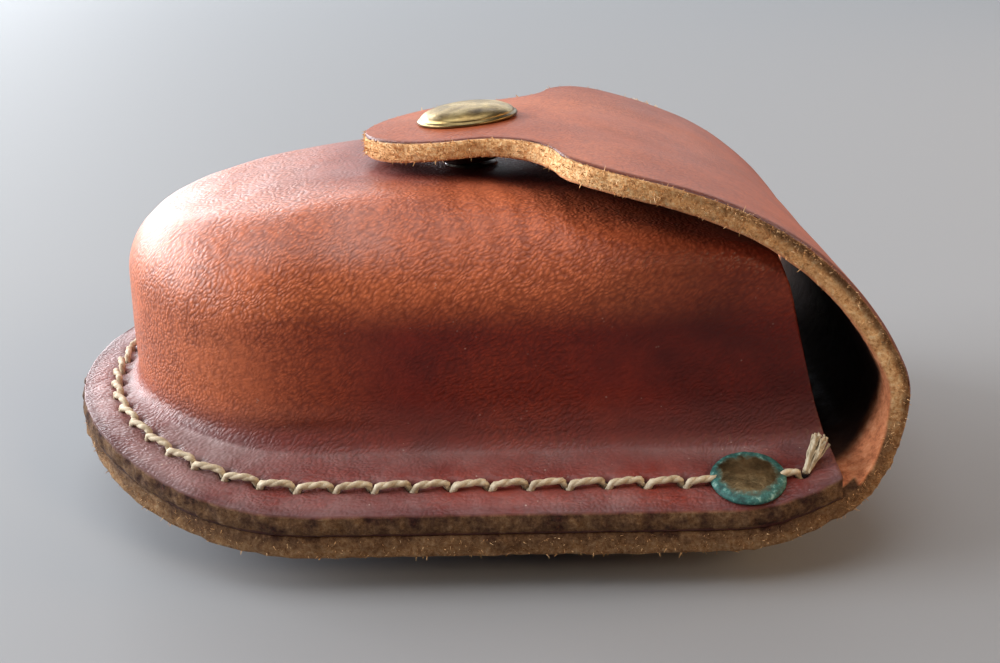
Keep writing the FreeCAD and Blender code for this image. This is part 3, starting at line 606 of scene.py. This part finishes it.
def surface_normal(x, y):
    """Unit normal of the flange's top face."""
    dy = (flange_top(x, y + 0.05) - flange_top(x, y - 0.05)) / 0.1
    dx = (flange_top(x + 0.05, y) - flange_top(x - 0.05, y)) / 0.1
    v = np.array([-float(dx), -float(dy), 1.0])
    return v / np.linalg.norm(v)


def stitch_path(a, b, below=False):
    """From hole a over to hole b, slanting inward, and down at both ends."""
    path = []
    for k in np.linspace(0, 1, 24):
        x, y = a[0] + (b[0] - a[0]) * k, a[1] + (b[1] - a[1]) * k
        inward = seam_inward(x, y)
        lateral = -0.32 + 0.62 * smooth(k, 0.05, 0.95)
        lift = 0.30 + 0.20 * math.sin(math.pi * k)
        lift -= 1.7 * smooth(k, 0.84, 1.0) + 1.1 * (1 - smooth(k, 0.0, 0.14))
        n = surface_normal(x, y)
        spot = np.array([x + inward[0] * lateral, y + inward[1] * lateral, float(flange_top(x, y))])
        path.append(spot - n * (2 * LEATHER) - n * lift if below else spot + n * lift)
    return np.array(path)


THREAD_TWIST = 2.9


def add_thread(points, faces, path, seed, ply=0.32, spread=0.11):
    """Two twisted plies along one path."""
    run = np.r_[0, np.cumsum(np.linalg.norm(np.diff(path, axis=0), axis=1))]
    _, _, side, up = tube(path, 0.1)
    for k in (0, 1):
        angle = 2 * math.pi * run / THREAD_TWIST + k * math.pi + seed
        centre = path + spread * (np.cos(angle)[:, None] * side + np.sin(angle)[:, None] * up)
        radius = ply * (1 + 0.06 * np.sin(run * 5 + seed))
        ring, quads, _, _ = tube(centre, radius)
        start = sum(len(group) for group in points)
        points.append(ring)
        faces.extend([tuple(v + start for v in quad) for quad in quads])


def rivet_distance(x, y):
    return math.hypot(x - RIVET_X, abs(y) - SEAM_Y)


def seam_thread():
    """Stitches above and below the flange, left out under the rivets."""
    points, faces = [], []
    for a, b in zip(holes[:-1], holes[1:]):
        if rivet_distance(*a) < 2.0 and rivet_distance(*b) < 2.0:
            continue
        start, end = (b, a) if a[1] < 0 else (a, b)
        for below in (False, True):
            add_thread(points, faces, stitch_path(start, end, below), rng.uniform(0, 6))
    return build("seam_twisted_thread", np.vstack(points), faces)


def frayed_end():
    """The tuft of loose strands where the seam ends by the mouth."""
    x, y = holes[0]
    foot = np.array([x + 0.5, y + 0.5, float(flange_top(x, y)) + 0.1])
    points, faces = [], []
    for _ in range(64):
        spread = rng.normal(0, 1, 3) * np.array([0.50, 0.35, 0.3])
        t = np.linspace(0, 1, 8)[:, None]
        tip = np.array([1.7, 1.6, 2.9 + rng.uniform(-0.7, 0.5)]) + spread
        path = foot + t * tip + np.sin(t * math.pi) * rng.normal(0, 0.22, 3)
        path = path + rng.normal(0, 0.13, 3) * (1 - t)
        add_thread(points, faces, path, rng.uniform(0, 6), 0.10, 0.07)
    return build("frayed_thread_end", np.vstack(points), faces)


thread_piece = seam_thread()
tail_piece = frayed_end()


# --- raw edge fibres
def fibres(name, anchors, outward, length, width, seed):
    """Short curved ribbons that stand off a raw edge."""
    local = np.random.default_rng(seed)
    points, faces, tone = [], [], []
    for anchor, out in zip(anchors, outward):
        size = length * (0.35 + 1.0 * local.random() ** 2)
        direction = out + local.normal(0, 0.55, 3)
        direction /= np.linalg.norm(direction)
        curl = local.normal(0, 0.5, 3)
        half = 0.5 * width * (0.6 + 0.8 * local.random())
        side = np.cross(direction, local.normal(0, 1, 3))
        side /= np.linalg.norm(side)
        start = len(points)
        for k in (0.0, 0.4, 0.75, 1.0):
            centre = anchor - out * 0.1 + direction * size * k + curl * size * k * k * 0.6
            w = half * (1 - 0.75 * k)
            points += [centre - side * w, centre + side * w]
        for k in range(3):
            a = start + 2 * k
            faces.append((a, a + 1, a + 3, a + 2))
        tone += [local.random()] * 8
    return build(name, np.array(points), faces, dict(tone=tone))


def edge_anchors(first, last, per_ring, seed):
    """Random places on the raw edge of the strip between two stations."""
    local = np.random.default_rng(seed)
    ring, n, e = strip["ring"], strip["across"], strip["edge"]
    spots, outs = [], []
    for row in range(first, last):
        for side in (0, 1):
            for _ in range(local.poisson(per_ring)):
                k = local.integers(0, e)
                index = (n + k) if side == 0 else (2 * n + e + k)
                a = strip["points"][row * ring + index]
                b = strip["points"][(row + 1) * ring + index]
                mix = local.random()
                if np.linalg.norm(b - a) < 1e-9:
                    continue
                spots.append(a + (b - a) * mix)
                outs.append(strip["outward"][row * ring + index])
    return spots, outs


# --- turned metal caps
def lathe(name, profile, place, sides=96, wobble=0.0, seed=1):
    """A turned piece from its half section, slightly dented."""
    profile = np.array(profile)
    angle = np.linspace(0, 2 * math.pi, sides, endpoint=False)
    rows = []
    for r, z in profile:
        rows.append(np.column_stack([r * np.cos(angle), r * np.sin(angle), np.full(sides, z)]))
    points = np.vstack(rows)
    radial = np.repeat(profile[:, 0], sides)
    points[:, 2] += wobble * fbm(points, 1.6, seed)
    grow = 1 + wobble * 0.12 * value_noise(points, 2.2, seed + 4)
    points[:, :2] *= grow[:, None]
    world = np.array(place)[:3, :3] @ points.T
    world = world.T + np.array(place)[:3, 3] / MM
    faces = [(f[0], f[3], f[2], f[1]) for f in grid_faces(len(profile), sides, True)]
    return build(name, world, faces, dict(radial=radial), merge=1e-7)


def frame_at(spot, direction):
    """Placement whose Z axis runs along a direction from a spot in mm."""
    z = Vector(direction).normalized()
    x = Vector((1, 0, 0))
    x = (x - z * x.dot(z)).normalized()
    y = z.cross(x)
    return Matrix(((x.x, y.x, z.x, spot[0] * MM), (x.y, y.y, z.y, spot[1] * MM),
                   (x.z, y.z, z.z, spot[2] * MM), (0, 0, 0, 1)))


rivets = []
for word, side in (("near", -1), ("far", 1)):
    n = surface_normal(RIVET_X, side * SEAM_Y)
    spot = np.array([RIVET_X, side * SEAM_Y, float(flange_top(RIVET_X, side * SEAM_Y))]) + n * 0.05
    rows = [(3.3, 0.0), (3.95, 0.05), (4.1, 0.3), (4.05, 0.55)]
    for t in np.linspace(0.05, math.pi / 2 - 1e-4, 14):
        rows.append((3.95 * math.cos(t), 0.58 + 0.55 * math.sin(t)))
    rivets.append(lathe("corner_rivet_head_" + word, rows, frame_at(spot, n), wobble=0.07, seed=11 + side))
    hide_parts("corner_rivet_cap_" + word)


def crown_point(x):
    """Point and normal of the flap's outer face above the crown's arc."""
    cx1, cz1 = MOUTH_X, FLANGE_TOP - 2 * LEATHER + BEND_R
    x1, z1 = cx1 + BEND_R * math.sin(BEND_END), cz1 - BEND_R * math.cos(BEND_END)
    cx2, cz2 = x1 - RISE_R * math.sin(BEND_END), z1 + RISE_R * math.cos(BEND_END)
    x2, z2 = cx2 + RISE_R * math.sin(RISE_END), cz2 - RISE_R * math.cos(RISE_END)
    cx3, cz3 = x2 - CROWN_R * math.sin(RISE_END), z2 + CROWN_R * math.cos(RISE_END)
    slope = (x - cx3) / CROWN_R
    level = math.sqrt(1 - slope ** 2)
    return np.array([x, 0, cz3 + CROWN_R * level]), np.array([slope, 0, level])


snap_spot, snap_normal = crown_point(SNAP_X)
cap_rows = [(5.6, -0.02), (6.15, -0.02), (6.35, 0.15), (6.3, 0.38), (6.05, 0.5)]
for t in np.linspace(0.04, math.pi / 2 - 1e-4, 26):
    cap_rows.append((5.95 * math.cos(t), 0.5 + 1.45 * math.sin(t)))
snap_cap = lathe("snap_cap_dome", cap_rows, frame_at(snap_spot, snap_normal), wobble=0.03, seed=3, sides=128)


# --- materials
class Tree:
    """A node material being put together, with its shader."""

    def __init__(self, name):
        self.material = bpy.data.materials.new(name)
        self.material.use_nodes = True
        self.nodes = self.material.node_tree.nodes
        self.links = self.material.node_tree.links
        self.shader = self.nodes["Principled BSDF"]

    def feed(self, socket, value):
        """Link a socket to a value that varies, or set it to a fixed one."""
        if isinstance(value, bpy.types.NodeSocket):
            self.links.new(value, socket)
        elif isinstance(value, tuple):
            socket.default_value = (*value, 1.0)[:len(socket.default_value)]
        else:
            socket.default_value = value

    def add(self, kind, **inputs):
        """A new node with these of its inputs fed."""
        item = self.nodes.new("ShaderNode" + kind)
        for name, value in inputs.items():
            self.feed(item.inputs[name], value)
        return item

    def mix(self, factor, a, b):
        """Colour a turning into b."""
        item = self.add("Mix")
        item.data_type = "RGBA"
        for index, value in ((0, factor), (6, a), (7, b)):
            self.feed(item.inputs[index], value)
        return item.outputs[2]

    def maths(self, operation, a, b, clamp=False):
        item = self.add("Math")
        item.operation = operation
        item.use_clamp = clamp
        self.feed(item.inputs[0], a)
        self.feed(item.inputs[1], b)
        return item.outputs[0]

    def times(self, a, b, clamp=False):
        return self.maths("MULTIPLY", a, b, clamp)

    def plus(self, a, b, clamp=False):
        return self.maths("ADD", a, b, clamp)

    def ramp(self, value, stops):
        """Grey levels or colours at places from 0 to 1."""
        item = self.add("ValToRGB")
        self.links.new(value, item.inputs[0])
        elements = item.color_ramp.elements
        while len(elements) < len(stops):
            elements.new(0.5)
        for element, (place, colour) in zip(elements, stops):
            element.position = place
            element.color = (*colour, 1.0) if isinstance(colour, tuple) else (colour, colour, colour, 1.0)
        return item.outputs[0]

    def noise(self, vector, scale, detail, rough, seed):
        item = self.add("TexNoise", Scale=scale, Detail=detail, Roughness=rough, Vector=vector)
        item.noise_dimensions = "4D"
        item.inputs["W"].default_value = seed
        return item.outputs["Fac"]

    def attribute(self, name, output="Fac"):
        item = self.add("Attribute")
        item.attribute_name = name
        return item.outputs[output]

    def place(self, from_rest):
        """Where on the piece: its rest shape, or the object's own axes for a CAD node."""
        if from_rest:
            return self.attribute("rest", "Vector")
        return self.add("TexCoord").outputs["Object"]

    def span(self, value, low, high):
        """Stretch a value from 0 to 1 over low to high."""
        item = self.add("MapRange")
        for index, fed in ((0, value), (3, low), (4, high)):
            self.feed(item.inputs[index], fed)
        return item.outputs[0]

    def setting(self, name, value):
        self.feed(self.shader.inputs[name], value)

    def bump(self, height, strength, distance):
        item = self.add("Bump", Strength=strength, Distance=distance, Height=height)
        self.links.new(item.outputs[0], self.shader.inputs["Normal"])


LIGHT_TAN, DUST_AND_SHEEN_GREY, LINT = (0.74, 0.200, 0.076), (0.47, 0.36, 0.355), (0.66, 0.52, 0.44)
EDGE_DYE, HOLE_PAINTED_SHADE, INSIDE_PAINTED_SHADE = (0.060, 0.020, 0.022), (0.012, 0.006, 0.006), (0.010, 0.004, 0.003)
MARKS = ("flesh", "rim", "hole", "base", "dust_and_sheen", "burn", "line", "tone", "shade")


def leather_material(name, dark, mid, bright, gloss, grain_depth=1.0, from_rest=True):
    """Glazed leather: pebbled grain, tonal drift, painted light and sheen, dust, raw edges, flesh side,
    painted shade.
    """
    tree = Tree(name)
    mix, ramp, noise, times, plus = tree.mix, tree.ramp, tree.noise, tree.times, tree.plus
    where = tree.place(from_rest)
    flesh, rim, hole, base, dust_and_sheen, burn, line, tone, shade = (tree.attribute(key) for key in MARKS)
    # pebbled grain, warped so that its cells are uneven
    wobble = tree.add("TexNoise", Scale=300.0, Vector=where)
    warp = tree.add("VectorMath")
    warp.operation = "MULTIPLY_ADD"
    for index, value in enumerate((wobble.outputs["Color"], (0.0016, 0.0016, 0.0016), where)):
        tree.feed(warp.inputs[index], value)
    slant = tree.add("Mapping", Rotation=(0.0, -0.6, 0.25), Scale=(1.6, 1.0, 0.9), Vector=warp.outputs[0])
    slant.vector_type = "TEXTURE"
    pebble = tree.add("TexVoronoi", Scale=2700.0, Vector=slant.outputs[0])
    pebble.feature = "SMOOTH_F1"
    pebble.inputs["Smoothness"].default_value = 0.35
    grain_fade = noise(where, 75.0, 3.0, 0.6, 11.0)
    grain_fade = ramp(grain_fade, [(0.36, 0.35), (0.62, 1.0)])
    grain = times(pebble.outputs["Distance"], grain_fade)
    # colour: slow drift, mottling, and dark grain valleys
    drift = noise(where, 48.0, 4.0, 0.6, 1.0)
    colour = ramp(drift, [(0.32, dark), (0.50, mid), (0.70, bright)])
    # painted light: lighter tan where the shell's end and near shoulder are lit; on the strip, a lighter
    # flap past the bend
    colour = mix(times(tone, 0.85), colour, LIGHT_TAN)
    fine = noise(where, 1300.0, 4.0, 0.7, 2.0)
    mottle = ramp(fine, [(0.40, 0.0), (0.62, 1.0)])
    colour = mix(times(mottle, 0.34), colour, dark)
    valley = ramp(grain, [(0.18, 0.0), (0.60, 1.0)])
    colour = mix(times(valley, 0.46), colour, dark)
    # dust and a painted sheen where the piece says, and a painted sheen in the fillet
    patch = noise(where, 130.0, 5.0, 0.7, 5.0)
    dust_and_sheen_amount = ramp(patch, [(0.34, 0.15), (0.68, 1.0)])
    dust_and_sheen_amount = times(dust_and_sheen_amount, dust_and_sheen, True)
    dust_and_sheen_amount = plus(dust_and_sheen_amount, times(base, 0.22), True)
    colour = mix(times(dust_and_sheen_amount, 0.62), colour, DUST_AND_SHEEN_GREY)
    colour = mix(times(line, 0.80), colour, EDGE_DYE)
    # specks of lint
    specks = tree.add("TexVoronoi", Scale=1500.0, Vector=where)
    speck = ramp(specks.outputs["Distance"], [(0.0, 1.0), (0.14, 1.0), (0.20, 0.0)])
    chance = noise(where, 520.0, 2.0, 0.6, 9.0)
    chance = ramp(chance, [(0.60, 0.0), (0.68, 1.0)])
    speck = times(times(speck, chance), plus(times(dust_and_sheen_amount, 0.9), 0.22), True)
    colour = mix(speck, colour, LINT)
    # flesh side and raw edges
    nap = noise(where, 900.0, 5.0, 0.7, 3.0)
    suede = ramp(nap, [(0.30, (0.34, 0.095, 0.040)), (0.50, (0.70, 0.25, 0.11)),
                                     (0.70, (0.86, 0.42, 0.22))])
    colour = mix(flesh, colour, suede)
    # painted shade: the inside of the pouch and of the shell is coloured nearly black
    colour = mix(shade, colour, INSIDE_PAINTED_SHADE)
    chop = noise(where, 2100.0, 6.0, 0.75, 4.0)
    patchy = noise(where, 420.0, 4.0, 0.65, 14.0)
    golden = ramp(chop, [(0.32, (0.20, 0.070, 0.026)), (0.42, (0.70, 0.34, 0.13)),
                                       (0.53, (0.96, 0.57, 0.26)), (0.66, (1.0, 0.80, 0.48))])
    burnt = ramp(chop, [(0.34, (0.010, 0.004, 0.003)), (0.54, (0.036, 0.009, 0.005)),
                                      (0.68, (0.12, 0.034, 0.012)), (0.86, (0.34, 0.15, 0.058))])
    spread = ramp(patchy, [(0.36, 1.0), (0.66, 0.80)])
    raw_colour = mix(times(burn, spread, True), golden, burnt)
    colour = mix(rim, colour, raw_colour)
    # painted shade in the pits at the stitch holes
    colour = mix(times(hole, 1.7, True), colour, HOLE_PAINTED_SHADE)
    tree.setting("Base Color", colour)
    # gloss
    rough = tree.span(noise(where, 90.0, 4.0, 0.6, 7.0), gloss - 0.07, gloss + 0.15)
    matt = tree.maths("MAXIMUM", tree.maths("MAXIMUM", flesh, rim), hole)
    rough = plus(rough, times(dust_and_sheen_amount, 0.14))
    tree.setting("Roughness", plus(rough, times(matt, 0.55), True))
    tree.setting("Specular IOR Level", 0.27)
    tree.setting("Coat Weight", 0.04)
    tree.setting("Coat Roughness", 0.30)
    # relief: pebbles and long soft wrinkles, or chopped fibres
    wrinkle = noise(where, 260.0, 5.0, 0.6, 12.0)
    height = plus(times(grain, -0.9 * grain_depth), times(wrinkle, 0.36))
    rough_height = times(plus(chop, nap), 3.4)
    mix_height = tree.add("Mix")
    mix_height.data_type = "FLOAT"
    for index, value in ((0, tree.maths("MAXIMUM", flesh, rim)), (2, height), (3, rough_height)):
        tree.feed(mix_height.inputs[index], value)
    tree.bump(mix_height.outputs[0], 0.55, 0.00026)
    return tree.material


def simple_material(name, stops, scale, metal, rough, bump, distance=0.0001, from_rest=True):
    """A material with one noise in its colour and a finer one in its relief."""
    tree = Tree(name)
    where = tree.place(from_rest)
    tree.setting("Base Color", tree.ramp(tree.noise(where, scale, 4.0, 0.65, 1.5), stops))
    tree.setting("Metallic", metal)
    fine = tree.noise(where, scale * 1.7, 3.0, 0.6, 6.5)
    tree.setting("Roughness", tree.span(fine, *rough))
    tree.bump(fine, bump, distance)
    return tree.material


def brass_material():
    """Worn antique brass, darker towards the cap's rim."""
    tree = Tree("brass_antique")
    where = tree.place(True)
    patches = tree.noise(where, 420.0, 5.0, 0.65, 2.0)
    colour = tree.ramp(patches, [(0.30, (0.16, 0.100, 0.034)), (0.50, (0.46, 0.31, 0.115)),
                                 (0.72, (0.76, 0.57, 0.24))])
    rim_dark = tree.ramp(tree.times(tree.attribute("radial"), 1 / SNAP_CAP_R), [(0.80, 0.0), (0.97, 1.0)])
    tree.setting("Base Color", tree.mix(tree.times(rim_dark, 0.7), colour, (0.06, 0.045, 0.025)))
    tree.setting("Metallic", 0.92)
    stretch = tree.add("Mapping", Rotation=(0.0, 0.0, 0.6), Scale=(1.0, 14.0, 1.0), Vector=where)
    scratch = tree.noise(stretch.outputs[0], 380.0, 5.0, 0.7, 3.0)
    tree.setting("Roughness", tree.span(scratch, 0.16, 0.46))
    tree.bump(tree.plus(scratch, tree.times(patches, 1.2)), 0.35, 0.00012)
    return tree.material


def verdigris_material():
    """Brown brass with green patina towards the rivet's rim."""
    tree = Tree("brass_verdigris")
    where = tree.place(True)
    blotch = tree.noise(where, 520.0, 5.0, 0.7, 2.0)
    ring = tree.plus(tree.times(tree.attribute("radial"), 1 / RIVET_R),
                     tree.times(tree.maths("SUBTRACT", blotch, 0.5), 0.9))
    green = tree.ramp(ring, [(0.66, 0.0), (0.84, 1.0)])
    speck = tree.noise(where, 1600.0, 3.0, 0.6, 8.0)
    patina = tree.ramp(speck, [(0.35, (0.010, 0.050, 0.045)), (0.55, (0.030, 0.14, 0.12)),
                               (0.74, (0.30, 0.48, 0.42))])
    brown = tree.ramp(blotch, [(0.35, (0.060, 0.042, 0.018)), (0.60, (0.20, 0.135, 0.060))])
    tree.setting("Base Color", tree.mix(green, brown, patina))
    tree.setting("Metallic", tree.maths("SUBTRACT", 0.75, tree.times(green, 0.7)))
    tree.setting("Roughness", tree.plus(0.36, tree.times(green, 0.3)))
    tree.bump(tree.plus(blotch, speck), 0.5, 0.00015)
    return tree.material


def use(material, *pieces):
    """Put one material on pieces that have none, or in place of a CAD node's own."""
    for piece in pieces:
        piece.data.materials.clear()
        piece.data.materials.append(material)


WAX_DARK, WAX_MID, WAX_LIGHT = (0.30, 0.22, 0.13), (0.56, 0.46, 0.31), (0.74, 0.66, 0.50)
shell_leather = leather_material("leather_moulded", (0.070, 0.005, 0.003), (0.19, 0.016, 0.007),
                                 (0.32, 0.038, 0.012), 0.36)
flap_leather = leather_material("leather_flap", (0.16, 0.027, 0.009), (0.31, 0.067, 0.018),
                                (0.44, 0.118, 0.032), 0.46, 0.6)
cad_leather = leather_material("leather_plain", (0.085, 0.014, 0.008), (0.20, 0.040, 0.018),
                               (0.32, 0.080, 0.032), 0.40, from_rest=False)
thread_material = simple_material("thread_waxed", [(0.3, WAX_DARK), (0.5, WAX_MID), (0.75, WAX_LIGHT)],
                                  700.0, 0.0, (0.55, 0.8), 0.5, 0.00012)
fibre_material = simple_material("fibre_tan", [(0.3, (0.36, 0.16, 0.06)), (0.5, (0.74, 0.42, 0.18)),
                                               (0.72, (0.92, 0.68, 0.40))], 500.0, 0.0, (0.7, 0.9), 0.1)
nickel = simple_material("nickel_dull", [(0.3, (0.30, 0.28, 0.25)), (0.7, (0.55, 0.53, 0.50))],
                         400.0, 1.0, (0.25, 0.45), 0.2, from_rest=False)
cad_thread = simple_material("thread_plain", [(0.3, WAX_DARK), (0.75, WAX_LIGHT)],
                             700.0, 0.0, (0.55, 0.8), 0.5, 0.00012, from_rest=False)
METAL_NODES = ("snap_socket", "snap_spring", "snap_stud", "snap_stud_post", "corner_rivet_post_near",
               "corner_rivet_post_far", "belt_rivet_cap_near", "belt_rivet_cap_far",
               "belt_rivet_post_near", "belt_rivet_post_far")
use(shell_leather, shell_piece)
use(flap_leather, back_piece, flap_piece)
use(thread_material, thread_piece, tail_piece)
use(brass_material(), snap_cap)
use(verdigris_material(), *rivets)
use(cad_leather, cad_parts["belt_loop"])
use(cad_thread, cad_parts["belt_loop_thread"])
use(nickel, *(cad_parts[name] for name in METAL_NODES))


# --- bodies and joins
back_fibres = fibres("back_edge_fibres", *edge_anchors(0, SPLIT, 12.0, 51), 0.42, 0.10, 52)
flap_fibres = fibres("flap_edge_fibres", *edge_anchors(SPLIT, strip["rows"] - 1, 34.0, 53), 0.42, 0.15, 54)
use(fibre_material, back_fibres, flap_fibres)
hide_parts("front_shell")
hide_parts("back_panel", "flap_panel")
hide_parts("flap_tongue")
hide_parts("seam_thread")
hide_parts("thread_tail")
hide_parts("snap_cap")
for piece in [shell_piece, thread_piece, tail_piece] + rivets:
    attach(piece, "case")
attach(snap_cap, "tongue")
for piece in (back_piece, back_fibres):
    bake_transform(piece)
for piece in (flap_piece, flap_fibres):
    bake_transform(piece)

# --- floor, light and camera
FLOOR = 3.0
floor_mesh = bpy.data.meshes.new("floor")
floor_mesh.from_pydata([(-FLOOR, -FLOOR, 0), (FLOOR, -FLOOR, 0), (FLOOR, FLOOR, 0), (-FLOOR, FLOOR, 0)],
                       [], [(0, 1, 2, 3)])
floor = add_object("floor", floor_mesh)
floor_tree = Tree("floor_pale")
floor_tree.setting("Base Color", (0.255, 0.262, 0.273))
floor_tree.setting("Roughness", 0.72)
floor_tree.setting("Specular IOR Level", 0.50)
use(floor_tree.material, floor)


def area_light(name, place, size_x, size_y, power, colour, aim=(0.0, 0.0, 0.02)):
    data = bpy.data.lights.new(name, "AREA")
    data.shape = "RECTANGLE"
    data.size = size_x
    data.size_y = size_y
    data.energy = power
    data.color = colour
    lamp = add_object(name, data)
    lamp.location = place
    lamp.rotation_euler = (Vector(aim) - Vector(place)).to_track_quat("-Z", "Y").to_euler()


area_light("window", (-2.1, 0.22, 0.85), 2.2, 1.2, 92.0, (0.95, 0.97, 1.0))
area_light("window_behind", (-1.45, 1.75, 0.62), 1.8, 0.8, 60.0, (0.92, 0.96, 1.0))
area_light("back", (0.55, 2.3, 0.90), 2.6, 0.9, 16.0, (0.90, 0.95, 1.0))
area_light("ceiling", (-0.25, -0.05, 1.60), 1.3, 1.3, 14.0, (0.97, 0.98, 1.0))
area_light("warm_bounce", (0.60, 0.04, 0.26), 0.4, 0.25, 1.6, (1.0, 0.60, 0.28), (0.22, 0.0, 0.0))
area_light("lamp", (0.75, -0.80, 0.62), 0.30, 0.30, 4.0, (1.0, 0.74, 0.48))
world = bpy.context.scene.world or bpy.data.worlds.new("World")
bpy.context.scene.world = world
world.use_nodes = True
background = world.node_tree.nodes.get("Background") or world.node_tree.nodes.new("ShaderNodeBackground")
background.inputs[0].default_value = (0.80, 0.87, 1.0, 1)
background.inputs[1].default_value = 0.08

camera_data = bpy.data.cameras.new("camera")
camera_data.sensor_width = 36.0
camera_data.lens = 46.8
camera_data.clip_start = 0.005
camera = add_object("camera", camera_data)
CAMERA_PLACE = (0.00433, -0.1628, 0.07325)
PITCH_DOWN, YAW, ROLL = 0.339, -0.002, -0.018
right = Vector((math.cos(YAW), -math.sin(YAW), 0))
ahead = Vector((math.sin(YAW), math.cos(YAW), 0))
forward = ahead * math.cos(PITCH_DOWN) - Vector((0, 0, 1)) * math.sin(PITCH_DOWN)
upward = Vector((0, 0, 1)) * math.cos(PITCH_DOWN) + ahead * math.sin(PITCH_DOWN)
rolled_right = right * math.cos(ROLL) + upward * math.sin(ROLL)
rolled_up = upward * math.cos(ROLL) - right * math.sin(ROLL)
axes = Matrix((rolled_right, rolled_up, -forward)).transposed().to_4x4()
camera.matrix_world = Matrix.Translation(CAMERA_PLACE) @ axes
bpy.context.scene.camera = camera
bpy.context.scene.view_settings.view_transform = "Standard"
